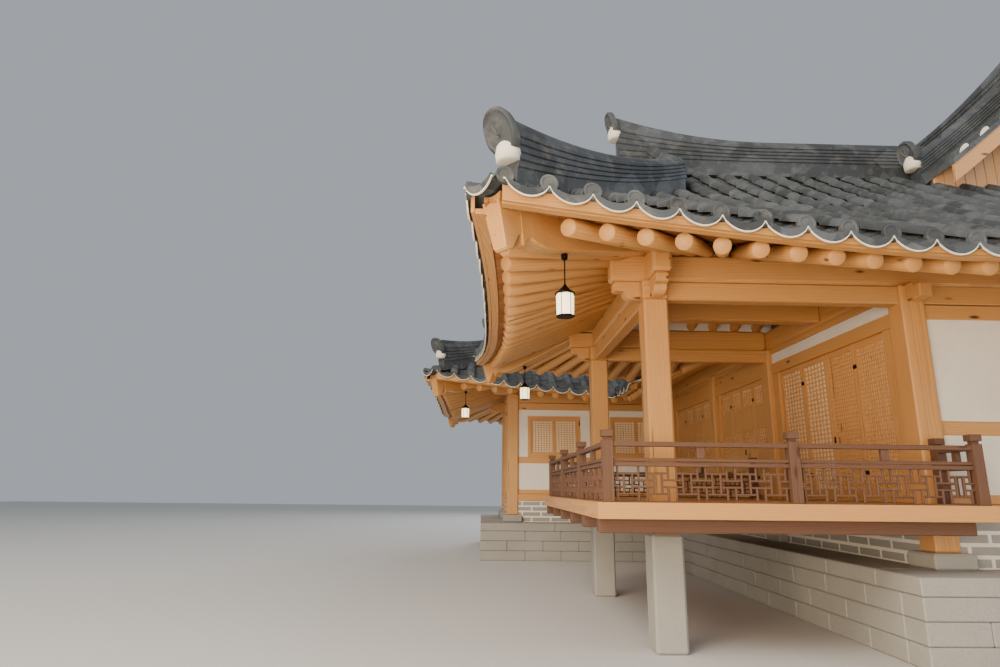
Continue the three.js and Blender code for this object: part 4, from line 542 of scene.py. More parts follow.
court_beams, court_panels = [], []
for (name, (c, d)), (a, b) in zip(DOOR_SPANS.items(), bays("court")):
    head_top = HEAD_TOP if name == "front" else COURT_LINTEL
    court_beams += [court_box(a, b, BEAM, FLOOR, DOOR_SILL),
                    court_box(a, c, DOOR_POST, DOOR_SILL, DOOR_HEAD),
                    court_box(d, b, DOOR_POST, DOOR_SILL, DOOR_HEAD),
                    court_box(a, b, BEAM, DOOR_HEAD, head_top - COURT_SEAM),
                    court_box(a, b, BEAM, COURT_LINTEL + COURT_SEAM, COLUMN_TOP)]
    if name == "front":
        court_panels.append(court_box(a, b, COURT_STRIP, HEAD_TOP, COURT_LINTEL))
piece("court_wall_beams", blocks(court_beams, BEAM_ARRIS), pine, ["court_wall"])
piece("court_wall_strip", blocks(court_panels, PANEL_ARRIS), plaster, ["court_wall"])

# Wrought iron: forged black, with a dull sheen and a hammered surface.
iron, iron_shader = finish("wrought_iron", "#1B1A19", 0.5)
iron_shader.inputs["Metallic"].default_value = 0.9
place = node(iron, "TexCoord").outputs["Object"]
hammer = node(iron, "TexNoise", {"Vector": place, "Scale": 120, "Detail": 2})
wear(iron, iron_shader, hammer, 0.5, 0.002)

LEAVES, LEAF_ARRIS = 4, 0.004
# Columns, rows and width of the bars in each kind of leaf, and where the groups and boards sit
FILLINGS = {"fine": (11, 32, 0.009), "wide": (5, 27, 0.012), "groups": (4, 5, 0.01)}
GROUP_PLACES, BOARD_PLACES = (0.1, 0.5, 0.9), (0.3, 0.7)
LEAF, LEAF_GAP, LEAF_STILE = 0.045, 0.003, 0.062
FOOT_RAIL, HEAD_RAIL = 0.09, 0.07
BARS_FORWARD, BAR_GROUP = 0.012, 0.15
LEAF_BOARD, BOARD_RAIL, BOARD_RAIL_DEPTH = 0.02, 0.02, 0.03
PAPER_INSET, HINGE_ARRIS = 0.05, 0.001
HINGE, HINGE_HALF, HINGE_HEIGHT, HINGE_FORWARD = 0.006, 0.035, 0.05, 0.026
HINGE_LOW, HINGE_HIGH = DOOR_SILL + 0.25, DOOR_HEAD - 0.3
# The latch plate sits beside the joint in the middle of each bay
LATCH, LATCH_NEAR, LATCH_FAR, LATCH_FOOT, LATCH_TOP = 0.01, 0.05, 0.02, 2.05, 2.13


def leaf(a, b, kind):
    """Frame and filling of one door leaf, of a kind in FILLINGS."""
    timbers = surround("y", X_COURT, a + LEAF_GAP, b - LEAF_GAP, DOOR_SILL, DOOR_HEAD, LEAF,
                       LEAF_STILE - LEAF_GAP, FOOT_RAIL, HEAD_RAIL)
    inner = (a + LEAF_STILE, b - LEAF_STILE)
    low, high = DOOR_SILL + FOOT_RAIL, DOOR_HEAD - HEAD_RAIL
    face = X_COURT - BARS_FORWARD
    columns, rows, width = FILLINGS[kind]
    if kind != "groups":
        return timbers, bars("y", face, *inner, low, high, columns, rows, width)
    lattice = []
    for share in GROUP_PLACES:
        z = low + (high - low) * share
        lattice += bars("y", face, *inner, z - BAR_GROUP, z + BAR_GROUP, columns, rows, width)
    for share in BOARD_PLACES:
        z = low + (high - low) * share
        reach = (high - low) * (BOARD_PLACES[0] - GROUP_PLACES[0]) - BAR_GROUP
        timbers.append(court_box(*inner, LEAF_BOARD, z - reach, z + reach, BARS_FORWARD))
        timbers += [court_box(*inner, BOARD_RAIL_DEPTH, edge - BOARD_RAIL, edge + BOARD_RAIL,
                              BARS_FORWARD + PAPER_SHEET) for edge in (z - reach, z + reach)]
    return timbers, lattice


for bay, (name, span) in enumerate(DOOR_SPANS.items()):
    edges = np.linspace(*span, LEAVES + 1)
    timbers, lattices, sheets = [], [], []
    for number, (a, b) in enumerate(pairwise(edges)):
        kind = "groups" if bay else "wide" if number >= LEAVES / 2 else "fine"
        frame_bars, lattice = leaf(a, b, kind)
        timbers += frame_bars
        lattices += lattice
        sheets.append(court_box(a + PAPER_INSET, b - PAPER_INSET, PAPER_SHEET, DOOR_SILL + PAPER_INSET,
                                DOOR_HEAD - PAPER_INSET, -PAPER_SHEET))
    hinges = [court_box(joint - HINGE_HALF, joint + HINGE_HALF, HINGE, z, z + HINGE_HEIGHT, HINGE_FORWARD)
              for joint, z in product(edges[1:-1:2], (HINGE_LOW, HINGE_HIGH))]
    hinges.append(court_box(edges[2] - LATCH_NEAR, edges[2] - LATCH_FAR, LATCH, LATCH_FOOT, LATCH_TOP,
                            HINGE_FORWARD + 0.002))
    doors = [f"court_doors_{name}"]
    piece(f"court_{name}_leaves", blocks(timbers, LEAF_ARRIS), pine, doors)
    piece(f"court_{name}_lattice", blocks(lattices, LATTICE_ARRIS), pine, doors)
    piece(f"court_{name}_paper", blocks(sheets, PAPER_ARRIS), paper, doors)
    piece(f"court_{name}_hinges", blocks(hinges, HINGE_ARRIS), iron)


# Pavilion beams: lintels cross over the two free columns and show carved ends outside them.
# A crossbeam and two short posts carry the purlin under the ridge.
HALF_PURLIN = 0.1
LINTEL_WIDTH, CROSSBEAM_WIDTH, RIDGE_BEAM_WIDTH, SHORT_POST = 0.16, 0.2, 0.18, 0.16
LINTEL_ARRIS, CROSSBEAM_ARRIS = 0.014, 0.016
LINTEL_END, SQUARE_END = 0.13, 0.14
CROSSBEAM_UNDER, CROSSBEAM_TOP = 3.6, 3.86
RIDGE_BEAM_UNDER, RIDGE_BEAM_TOP = 4.34, 4.54
WING_EDGE = X_COURT - HALF_PURLIN
RIDGE_Y = Y_PAVILION / 2
beams = [wall_box(*run, LINTEL_WIDTH, LINTEL, COLUMN_TOP - SEAM)
         for run in (("x", 0, HALF_COLUMN, WING_EDGE), ("x", Y_PAVILION, HALF_COLUMN, WING_EDGE),
                     ("y", 0, HALF_COLUMN, Y_PAVILION - HALF_COLUMN))]
beams += posts(PAVILION_POSTS.values(), COLUMN + 0.01, LINTEL, COLUMN_TOP)


def plate(outline, thickness, along, line):
    """A flat plate cut to an outline of (distance along, height), standing on a wall line, with
    its arrises cut back by a tenth of the thickness."""
    outline = np.array(outline, float)
    middle = outline.mean(axis=0)
    size = len(outline)
    cut = thickness * 0.1
    sunk = middle + (outline - middle) * (1 - 2 * cut / np.ptp(outline, axis=0).min())
    half = thickness / 2
    layers = [(sunk, -half), (outline, cut - half), (outline, half - cut), (sunk, half)]
    across = np.concatenate([np.full(size, offset) for _, offset in layers])
    flat = np.concatenate([shape for shape, _ in layers])
    points = np.stack([flat[:, 0], across + line, flat[:, 1]] if along == "x"
                      else [across + line, flat[:, 0], flat[:, 1]], axis=1)
    ring = np.arange(size)
    after = np.roll(ring, -1)
    way = 1 if along == "x" else -1
    faces = [ring.tolist()[::way], (ring + 3 * size).tolist()[::-way]]
    for low, high in pairwise(size * np.arange(4)):
        faces += np.stack([ring + low, ring + high, after + high, after + low], axis=1)[:, ::way].tolist()
    grain = np.stack([flat[:, 0], flat[:, 1] - LINTEL, across], axis=1)
    return points, faces, grain


HOLLOW_START, HOLLOW = 0.1, 0.09
NOSE_START, NOSE_END, NOSE_UP, NOSE_CUT = 0.25, 0.3, 0.12, 0.03


def carved_end(root, direction):
    """Outline of a lintel's end: a step up from the soffit, a hollow and a rounded nose."""
    turn = np.linspace(0, math.pi / 2, 6)
    hollow = np.stack([HOLLOW_START + HOLLOW * np.sin(turn), LINTEL + HOLLOW * (1 - np.cos(turn))], axis=1)
    nose = np.stack([NOSE_START + (NOSE_END - NOSE_START) * np.sin(turn),
                     LINTEL + NOSE_UP - NOSE_CUT * np.cos(turn)], axis=1)
    top = [[NOSE_END, COLUMN_TOP - NOSE_CUT], [NOSE_END - NOSE_CUT, COLUMN_TOP], [0, COLUMN_TOP]]
    line = np.concatenate([[[0, LINTEL]], hollow, nose, top])
    line[:, 0] = root + direction * line[:, 0]
    return line[::direction]


near_end = carved_end(-HALF_COLUMN, -1)
heads = [plate(outline, LINTEL_END, along, line)
         for outline, along, line in ((near_end, "x", 0), (near_end, "x", Y_PAVILION), (near_end, "y", 0),
                                      (carved_end(Y_PAVILION + HALF_COLUMN, 1), "y", 0))]
lintels = merge(blocks(beams, LINTEL_ARRIS), *heads)
piece("pavilion_lintel_beams", lintels, pine, ["pavilion_lintels"])

# The front wall's beam runs on past its column with a plain stepped end.
STEP_NEAR, STEP_FAR, STEP_FOOT, STEP_UP = 0.12, 0.22, 0.01, 0.15
steps = [(STEP_FAR, STEP_FOOT), (STEP_FAR, STEP_UP), (STEP_NEAR, STEP_UP),
         (STEP_NEAR, COLUMN_TOP - LINTEL), (0, COLUMN_TOP - LINTEL), (0, STEP_FOOT)]
square_end = [(-HALF_COLUMN - reach, LINTEL + rise) for reach, rise in steps]
piece("front_wall_square_end", plate(square_end, SQUARE_END, "y", X_COURT), pine, ["front_wall"])
RIDGE_BEAM_START, SHORT_POST_X = 0.62, 0.78
roof_beams = [wall_box("x", RIDGE_Y, HALF_PURLIN, WING_EDGE, CROSSBEAM_WIDTH,
                       CROSSBEAM_UNDER, CROSSBEAM_TOP),
              wall_box("x", RIDGE_Y, RIDGE_BEAM_START, X_COURT + HALF_PURLIN, RIDGE_BEAM_WIDTH,
                       RIDGE_BEAM_UNDER, RIDGE_BEAM_TOP),
              *posts([(SHORT_POST_X, RIDGE_Y), (WING_EDGE - SHORT_POST, RIDGE_Y)], SHORT_POST,
                     CROSSBEAM_TOP, RIDGE_BEAM_UNDER)]
piece("pavilion_crossbeam", blocks(roof_beams, CROSSBEAM_ARRIS), pine, ["pavilion_roof_beams"])


# Floors: pine boards laid across joists, waxed by use. The pavilion's floor runs out to a
# narrow gallery on three sides and ends in a framing beam.
GALLERY, EDGE = 0.76, 0.1
BOARD, BOARD_WIDTH, BOARD_DEPTH, BOARD_JOINT = 0.08, 0.2, 0.05, 0.002
RIM, RIM_HANG = 0.1, 0.06
FLOOR_ARRIS, JOIST_ARRIS = 0.004, 0.01
JOIST, JOIST_UNDER, JOISTS = 0.12, 1.09, 6
FLOOR_BEAM, FLOOR_BEAM_LENGTH = 0.16, 9
pavilion_edge = X_COURT - EDGE
front_rim, back_rim = RIM - GALLERY, Y_PAVILION + GALLERY - RIM
floor_boards = []
for a, b in pairwise(np.append(np.arange(front_rim, pavilion_edge, BOARD_WIDTH), pavilion_edge)):
    runs = [(front_rim, back_rim)]
    if a < HALF_COLUMN and b > -HALF_COLUMN:
        runs = [(front_rim, -HALF_COLUMN), (HALF_COLUMN, Y_PAVILION - HALF_COLUMN),
                (Y_PAVILION + HALF_COLUMN, back_rim)]
    floor_boards += [(a, b - BOARD_JOINT, *run, FLOOR - BOARD_DEPTH, FLOOR) for run in runs]
rims = [wall_box(*run, RIM, FLOOR - BOARD - RIM_HANG, FLOOR)
        for run in (("x", front_rim - RIM / 2, -GALLERY, X_COURT + EDGE),
                    ("x", back_rim + RIM / 2, -GALLERY, pavilion_edge),
                    ("y", front_rim - RIM / 2, front_rim, back_rim))]
rims.append((pavilion_edge, X_COURT + EDGE, front_rim, -EDGE, FLOOR - BOARD, FLOOR))
piece("pavilion_floor_boards", blocks(floor_boards + rims, FLOOR_ARRIS), pine, ["pavilion_floor"])
joists = [wall_box("x", y, -GALLERY + 0.02, pavilion_edge, JOIST, JOIST_UNDER, FLOOR - BOARD_DEPTH - 0.005)
          for y in np.linspace(front_rim + JOIST / 2, back_rim - JOIST / 2, JOISTS)]
piece("pavilion_joist_beams", blocks(joists, JOIST_ARRIS), aged_pine, ["pavilion_joists"])
for name, x0, x1, y0 in (("wing", X_COURT - EDGE, X_RIGHT + EDGE, -EDGE),
                         ("back_wing", X_BACK_LEFT - EDGE, X_COURT - EDGE, Y_BACK - EDGE)):
    edging = facing(x0, x1, y0, Y_REAR + EDGE, [FLOOR_UNDER, FLOOR - 0.002], FLOOR_BEAM, FLOOR_BEAM_LENGTH)
    inner = (x0 + FLOOR_BEAM, x1 - FLOOR_BEAM, y0 + FLOOR_BEAM, Y_REAR + EDGE - FLOOR_BEAM,
             FLOOR - 0.06, FLOOR - 0.01)
    piece(f"{name}_floor_beams", blocks([*edging, inner], JOIST_ARRIS), pine, [f"{name}_floor"])


# Railing: weathered square posts with cut caps, a slim handrail, a deep lower rail, and between
# that and the floor a woven fret of thin bars in five rows.
RAIL_LINE, RAIL_END = 0.65, X_COURT - 0.01
RAIL_POST, POST_TOP = 0.095, 1.975
POST_CAP, POST_NECK = 0.06, 0.085
HANDRAIL, HANDRAIL_DEPTH, LOW_RAIL = 1.874, 0.042, 1.731
FRET_FOOT, FRET_TOP = FLOOR + 0.012, LOW_RAIL - 0.073
SLOT, SQUARE, FRET_BAR = 0.057, 0.05, 0.018
UPRIGHT_DEPTH, LEVEL_DEPTH = 0.022, 0.02
HANDRAIL_WIDTH, LOW_RAIL_WIDTH, UNDER_RAIL_WIDTH = 0.075, 0.055, 0.05
LOW_RAIL_DEPTH, UNDER_RAIL_TOP = 0.03, 0.036
STRUT, STRUT_HALF, RAIL_ARRIS = 0.045, 0.035, 0.004
NECK_SHARE, CAP_SHARE = 0.68, 1.08


def fret(along, line, a, b, z0, z1):
    """Woven fret: narrow slots stand in rows 1-2 and 4-5, and half a period on in rows 2-4.
    Bars edge each slot, and the level bars between rows run from one slot to the next."""
    rows = np.linspace(z0, z1, 6)
    period = 2 * (SLOT + SQUARE) + 4 * FRET_BAR
    count = max(1, round((b - a) / period))
    period = (b - a) / count
    reach = SLOT / 2 + FRET_BAR
    half = FRET_BAR / 2
    boxes = []

    def upright(x, low, high):
        if a < x < b:
            boxes.append(wall_box(along, line, x - half, x + half, UPRIGHT_DEPTH, low, high))

    def run(x0, x1, z):
        boxes.append(wall_box(along, line, max(x0, a), min(x1, b), LEVEL_DEPTH, z - half, z + half))

    for k in range(count + 1):
        outer, middle = a + k * period, a + (k + 0.5) * period
        for side in (-1, 1):
            upright(outer + side * (reach - half), rows[3], rows[5])
            upright(outer + side * (reach - half), rows[0], rows[2])
            upright(middle + side * (reach - half), rows[1], rows[4])
        if k < count:
            run(outer + reach - half, outer + period - reach + half, rows[4])
            run(outer + reach - half, outer + period - reach + half, rows[1])
        run(middle - period + reach - half, middle - reach + half, rows[3])
        run(middle - period + reach - half, middle - reach + half, rows[2])
    return boxes


def rail_panel(along, line, from_post, to_post):
    """Handrail, the two timbers of the low rail, a foot rail, a middle strut and the fret."""
    a, b = from_post + RAIL_POST / 2, to_post - RAIL_POST / 2
    middle = (a + b) / 2
    return [wall_box(along, line, a, b, HANDRAIL_WIDTH, HANDRAIL - HANDRAIL_DEPTH, HANDRAIL),
            wall_box(along, line, a, b, LOW_RAIL_WIDTH, LOW_RAIL - LOW_RAIL_DEPTH, LOW_RAIL),
            wall_box(along, line, a, b, UNDER_RAIL_WIDTH, FRET_TOP, LOW_RAIL - UNDER_RAIL_TOP),
            wall_box(along, line, a, b, UNDER_RAIL_WIDTH, FLOOR, FRET_FOOT),
            wall_box(along, line, middle - STRUT_HALF, middle + STRUT_HALF, STRUT, LOW_RAIL,
                     HANDRAIL - HANDRAIL_DEPTH),
            *fret(along, line, a, b, FRET_FOOT, FRET_TOP)]


def rail_posts(places):
    """Post, a sunk neck, and a cap that overhangs it."""
    return [box for share, z0, z1 in ((1, FLOOR, POST_TOP - POST_NECK),
                                      (NECK_SHARE, POST_TOP - POST_NECK, POST_TOP - POST_CAP),
                                      (CAP_SHARE, POST_TOP - POST_CAP, POST_TOP))
            for box in posts(places, RAIL_POST * share, z0, z1)]


def railing(name, along, line, stops, skip_ends=False):
    """Panels between the stops, and posts on them or only on the inner ones."""
    panels = [box for run in pairwise(stops) for box in rail_panel(along, line, *run)]
    shown = stops[1:-1] if skip_ends else stops
    places = [(s, line) if along == "x" else (line, s) for s in shown]
    piece(f"{name}_timbers", blocks(panels + rail_posts(places), RAIL_ARRIS), aged_pine, [name])


back_line = Y_PAVILION + RAIL_LINE
railing("front_railing", "x", -RAIL_LINE, np.linspace(-RAIL_LINE, RAIL_END, 3))
railing("back_railing", "x", back_line, np.linspace(-RAIL_LINE, pavilion_edge - RAIL_POST / 2, 3))
railing("left_railing", "y", -RAIL_LINE, np.linspace(-RAIL_LINE, back_line, 4), skip_ends=True)
return_end = -HALF_COLUMN - RAIL_POST * 0.53
returning = rail_panel("y", RAIL_END, -RAIL_LINE, return_end) + rail_posts([(RAIL_END, return_end)])
piece("return_railing_timbers", blocks(returning, RAIL_ARRIS), aged_pine, ["return_railing"])


# Roof form: the eaves turn up and out at each outer corner, and the tiles lie on an earth bed
# over boards. Heights are functions of the distance from the eave and of the plan place.
OVERHANG = 1.75
EAVE_TOP, ROOF_SLOPE, ROOF_CURVE = 3.505, 0.56, 0.036
RAFTER_TOP, RAFTER_SLOPE, RAFTER_INSET, UPPER_SLOPE = 3.365, 0.42, 0.25, 0.6
CORNER_LIFT, CORNER_REACH, CORNER_POWER, CORNER_FLARE = 0.39, 3.9, 1.3, 0.2
LEFT, FRONT, PAVILION_BACK = -OVERHANG, -OVERHANG, Y_PAVILION + OVERHANG
COURT, BACK_FRONT, BACK_LEFT = X_COURT - OVERHANG, Y_BACK - OVERHANG, X_BACK_LEFT - OVERHANG
RIGHT, REAR = X_RIGHT + OVERHANG, Y_REAR + OVERHANG
CORNERS = [(LEFT, FRONT, 1, 1), (LEFT, PAVILION_BACK, 1, -1), (RIGHT, FRONT, -1, 1),
           (RIGHT, REAR, -1, -1), (BACK_LEFT, BACK_FRONT, 1, 1), (BACK_LEFT, REAR, 1, -1)]


def fade(distance):
    """One at a corner, falling by a power law to nothing at the corner's reach."""
    near = np.clip(1 - np.maximum(distance, 0) / CORNER_REACH, 0, 1) ** CORNER_POWER
    return np.where(distance < -2 * CORNER_FLARE, 0, near)


def lift(x, y):
    """How far the eave turns up: the corner lift times the fades in both directions."""
    return sum(CORNER_LIFT * fade((x - cx) * ix) * fade((y - cy) * iy) for cx, cy, ix, iy in CORNERS)


def tile_height(d):
    """Height of the tiles. Past the plain eave line, where a corner swings out, they lie level."""
    return EAVE_TOP + ROOF_SLOPE * np.maximum(d, 0) + ROOF_CURVE * d * d


def rafter_height(d):
    """Height of the rafters' tops: a straight slope that steepens past the corner's reach."""
    return RAFTER_TOP + RAFTER_SLOPE * (d - RAFTER_INSET) + UPPER_SLOPE * np.maximum(0, d - CORNER_REACH)


# Each slope: start of its eave in plan, direction of the eave, length, which ends are outer
# corners, and its upper and lower limits as points of (distance along the eave, distance
# inwards). Inwards is to the left of the eave's direction.
PAVILION_GABLE, BACK_GABLE, WING_GABLE = OVERHANG + 0.53, OVERHANG + 0.55, OVERHANG + 1.3
BOARD_GAP = 0.1
PAVILION_RISE = RIDGE_Y - FRONT
BACK_RISE = Y_BACK_MIDDLE - BACK_FRONT
WING_RISE = (X_COURT + X_RIGHT) / 2 - COURT
PAVILION_RUN, COURT_RUN = COURT - LEFT, BACK_FRONT - PAVILION_BACK
FRONT_RUN, RIGHT_RUN, REAR_RUN = RIGHT - LEFT, REAR - FRONT, RIGHT - BACK_LEFT
BACK_RUN, SIDE_RUN, LEFT_RUN = COURT - BACK_LEFT, REAR - BACK_FRONT, PAVILION_BACK - FRONT
OVER = 0.3
JUMP = 0.001


def roof_slope(start, along, length, corners, high, low=((0, 0),)):
    """The upper limit also runs out past each outer corner, on the line of its hip."""
    high = [(-OVER, -OVER)] * corners[0] + list(high) + [(length + OVER, -OVER)] * corners[1]
    return dict(start=start, along=along, inward=(-along[1], along[0]), length=length, corners=corners,
                low=low, high=high)


def under_gable(start, length, gable):
    """A slope that ends level at the foot of a gable."""
    far = gable - BOARD_GAP
    return roof_slope(start, (0, -1), length, (1, 1), [(far, far), (length - far, far)])


SLOPES = {
    "front": roof_slope(
        (LEFT, FRONT), (1, 0), FRONT_RUN, (1, 1),
        [(PAVILION_GABLE, PAVILION_GABLE), (PAVILION_GABLE + JUMP, PAVILION_RISE),
         (COURT + PAVILION_RISE - LEFT, PAVILION_RISE),
         (COURT + PAVILION_RISE - LEFT + JUMP, WING_GABLE - BOARD_GAP),
         (FRONT_RUN - WING_GABLE + BOARD_GAP, WING_GABLE - BOARD_GAP)]),
    "pavilion_left": under_gable((LEFT, PAVILION_BACK), LEFT_RUN, PAVILION_GABLE),
    "pavilion_back": roof_slope(
        (COURT, PAVILION_BACK), (-1, 0), PAVILION_RUN, (0, 1),
        [(-PAVILION_RISE, PAVILION_RISE), (PAVILION_RUN - PAVILION_GABLE, PAVILION_RISE),
         (PAVILION_RUN - PAVILION_GABLE + JUMP, PAVILION_GABLE)],
        [(-PAVILION_RISE, PAVILION_RISE), (0, 0)]),
    "court": roof_slope(
        (COURT, BACK_FRONT), (0, -1), COURT_RUN, (0, 0),
        [(BACK_FRONT - REAR + WING_GABLE, WING_RISE), (BACK_FRONT - FRONT - WING_GABLE, WING_RISE)],
        [(BACK_FRONT - REAR + WING_GABLE, WING_GABLE), (-BACK_RISE, BACK_RISE), (0, 0), (COURT_RUN, 0),
         (COURT_RUN + PAVILION_RISE, PAVILION_RISE), (BACK_FRONT - FRONT - WING_GABLE, WING_GABLE)]),
    "back_front": roof_slope(
        (BACK_LEFT, BACK_FRONT), (1, 0), BACK_RUN, (1, 0),
        [(BACK_GABLE, BACK_GABLE), (BACK_GABLE + JUMP, BACK_RISE), (BACK_RUN + BACK_RISE, BACK_RISE)],
        [(0, 0), (BACK_RUN, 0), (BACK_RUN + BACK_RISE, BACK_RISE)]),
    "back_left": under_gable((BACK_LEFT, REAR), SIDE_RUN, BACK_GABLE),
    "rear": roof_slope(
        (RIGHT, REAR), (-1, 0), REAR_RUN, (1, 1),
        [(WING_GABLE - BOARD_GAP, WING_GABLE - BOARD_GAP),
         (RIGHT - COURT - BACK_RISE, WING_GABLE - BOARD_GAP),
         (RIGHT - COURT - BACK_RISE + JUMP, BACK_RISE), (REAR_RUN - BACK_GABLE, BACK_RISE),
         (REAR_RUN - BACK_GABLE + JUMP, BACK_GABLE)]),
    "right": roof_slope(
        (RIGHT, FRONT), (0, 1), RIGHT_RUN, (1, 1),
        [(WING_GABLE, WING_GABLE), (WING_GABLE + JUMP, WING_RISE), (RIGHT_RUN - WING_GABLE, WING_RISE),
         (RIGHT_RUN - WING_GABLE + JUMP, WING_GABLE)]),
}


def corner_fade(slope, s):
    """Sum of the squared fades from the slope's outer corners."""
    first, last = slope["corners"]
    return first * fade(s) ** 2 + last * fade(slope["length"] - s) ** 2


def low_edge(slope, s):
    """The eave's distance, which is below nothing where it swings out near a corner."""
    points = np.array(slope["low"], float)
    return np.interp(s, points[:, 0], points[:, 1]) - CORNER_FLARE * corner_fade(slope, s)


def high_edge(slope, s):
    """The distance inwards at which the slope ends above."""
    points = np.array(slope["high"], float)
    return np.interp(s, points[:, 0], points[:, 1])


def plan(slope, s, d):
    """Plan place of a point at s along the eave and d inwards."""
    return (slope["start"][0] + slope["along"][0] * s + slope["inward"][0] * d,
            slope["start"][1] + slope["along"][1] * s + slope["inward"][1] * d)


def on_slope(slope, s, d, height, offset=0):
    """Points over the slope, at a height function of d plus the corners' lift and an offset."""
    x, y = plan(slope, s, d)
    return np.stack(np.broadcast_arrays(x, y, height(d) + lift(x, y) + offset), axis=-1)


def tubes(rings):
    """Closed tubes from rings of points, shape (tubes, rings, points, 3), with both ends capped.
    Returns points and faces, the ring running the way that makes the faces point outwards."""
    count, steps, size, _ = rings.shape
    index = np.arange(count * steps * size).reshape(count, steps, size)
    after = np.roll(index, -1, axis=2)
    quads = np.stack([index[:, :-1], after[:, :-1], after[:, 1:], index[:, 1:]], axis=-1).reshape(-1, 4)
    caps = np.concatenate([index[:, 0, ::-1], index[:, -1]])
    return rings.reshape(-1, 3), quads.tolist() + caps.tolist()


CORNER_ROW = 0.13


def tile_lines(slope):
    """Places of the cover tiles along the eave, the same distance from both corners, of the
    concave ones between them, and half the pitch."""
    ends = np.array(slope["high"])[:, 0]
    first = CORNER_ROW if slope["corners"][0] else ends.min() + 0.1
    last = slope["length"] - CORNER_ROW if slope["corners"][1] else ends.max() - 0.1
    covers = np.linspace(first, last, round((last - first) / TILE_PITCH) + 1)
    return covers, (covers[1:] + covers[:-1]) / 2, (covers[1] - covers[0]) / 2


# At each corner a broad tile lies on the diagonal. Its own small slope runs from the corner up
# the hip, so its height grows with the distance along the diagonal over the root of two.
DIAGONAL = math.sqrt(2)
CORNER_HALF, CORNER_START, CORNER_END = 0.145, -0.12, 0.5
CORNER_SLOPES = [roof_slope((cx, cy), (iy / DIAGONAL, -ix / DIAGONAL), 0, (0, 0), [(0, CORNER_END)],
                            [(0, CORNER_START)]) for cx, cy, ix, iy in CORNERS]


def hip_tile_height(d):
    """Height of the tiles at a distance along the diagonal."""
    return tile_height(d / DIAGONAL)


# Roof tiles: grey clay, fired and smoked. Broad concave tiles lie in rows up the slope, and
# narrow half-round ones cover the joints. Each laps the one below it with a small step.
TILE_PITCH = 0.3445
COVER_RADIUS, COVER_CENTRE, COVER_BACK, CORNER_COVER_BACK = 0.077, 0.099, 0.03, 0.16
COVER_LAP, PAN_LAP = 0.3, 0.15
LAP_STEP = 0.02
PAN_EDGE, PAN_DEPTH = 0.085, 0.065
PAN_THICKNESS, PAN_GAP, PAN_BACK = 0.024, 0.012, 0.012
TILE_START = -0.3

# Smoked clay: dark grey with a bluish cast, each tile a little lighter or darker, pale dust in
# the hollows and a fine sandy surface.
tile, tile_shader = finish("smoked_clay_tile", "#43474A", 0.72)
place = node(tile, "TexCoord").outputs["Object"]
tile_place = node(tile, "Mapping", {"Vector": place, "Scale": (2.7, 2.7, 3.3)})
each = node(tile, "TexVoronoi", {"Vector": tile_place, "Scale": 1}).outputs["Color"]
shade = node(tile, "SeparateColor", {"Color": each})
dust = node(tile, "TexNoise", {"Vector": place, "Scale": 7, "Detail": 6, "Roughness": 0.65})
dusty = node(tile, "MapRange", {"Value": dust, "From Min": 0.5, "From Max": 0.8,
                                "To Min": 0, "To Max": 0.55})
colours(tile, tile_shader, "#2E3235", (shade, "#4E5357"), (dusty, "#7B7A72"))
sand = node(tile, "TexNoise", {"Vector": place, "Scale": 60, "Detail": 5})
wear(tile, tile_shader, sand, 0.45, 0.004)


def lapped(low, high, lap):
    """Distances of the tiles' edges: each joint twice, just below and just above it."""
    joints = np.arange(low, high + lap, lap)
    return np.sort(np.concatenate([joints - JUMP, joints + JUMP]))


def lap_height(d, lap):
    """A tile rises by the step at its lower end and is flush at its upper end."""
    return LAP_STEP * (1 - (d - TILE_START) / lap % 1)


def tile_rows(slope, middles, across, below, lap, start, height=tile_height):
    """Rows of tiles up a slope. across and below are the section's offsets along the eave and
    down from the top. Rows are cut off along the slope's lower and upper limits."""
    s = middles[:, None, None] + across
    d = lapped(TILE_START, high_edge(slope, middles).max(), lap)[None, :, None]
    d = np.clip(d + 0 * s, low_edge(slope, s) + start, high_edge(slope, s))
    return tubes(on_slope(slope, s, d, height, lap_height(d, lap) - LAP_STEP - below))


def arc(count, radius):
    """Half a circle as offsets across and up."""
    turn = np.linspace(0, math.pi, count)
    return radius * np.cos(turn), radius * np.sin(turn)


def hollow(u):
    """Depth of a concave tile under its edges, for u from -1 to 1 across it."""
    return PAN_DEPTH * (1 - u * u)


def plain(part):
    """A part of a material whose pattern needs no grain."""
    return part[0], part[1], np.zeros_like(part[0])


cover_across, cover_up = arc(9, COVER_RADIUS)
pan_u = np.concatenate([np.linspace(1, -1, 7), np.linspace(-1, 1, 4)])
pan_below = PAN_EDGE + hollow(pan_u) + np.repeat([0, PAN_THICKNESS], (7, 4))
for name, slope in SLOPES.items():
    covers, pans, half_pitch = tile_lines(slope)
    cover_rows = tile_rows(slope, covers, cover_across, COVER_CENTRE - cover_up - LAP_STEP,
                           COVER_LAP, COVER_BACK)
    pan_rows = tile_rows(slope, pans, pan_u * (half_pitch - PAN_GAP), pan_below, PAN_LAP, PAN_BACK)
    piece(f"{name}_tiles", merge(plain(cover_rows), plain(pan_rows)), tile, [f"roof_{name}"],
          smooth=35, clean=True)
MIDDLE_ROW = np.zeros(1)
corner_shapes = [(pan_u * CORNER_HALF, pan_below, PAN_LAP, PAN_BACK),
                 (cover_across, COVER_CENTRE - COVER_BACK - cover_up, COVER_LAP, CORNER_COVER_BACK)]
corner_rows = [tile_rows(slope, MIDDLE_ROW, *shape, hip_tile_height)
               for shape in corner_shapes for slope in CORNER_SLOPES]
piece("corner_tiles", merge(*map(plain, corner_rows)), tile, smooth=35, clean=True)

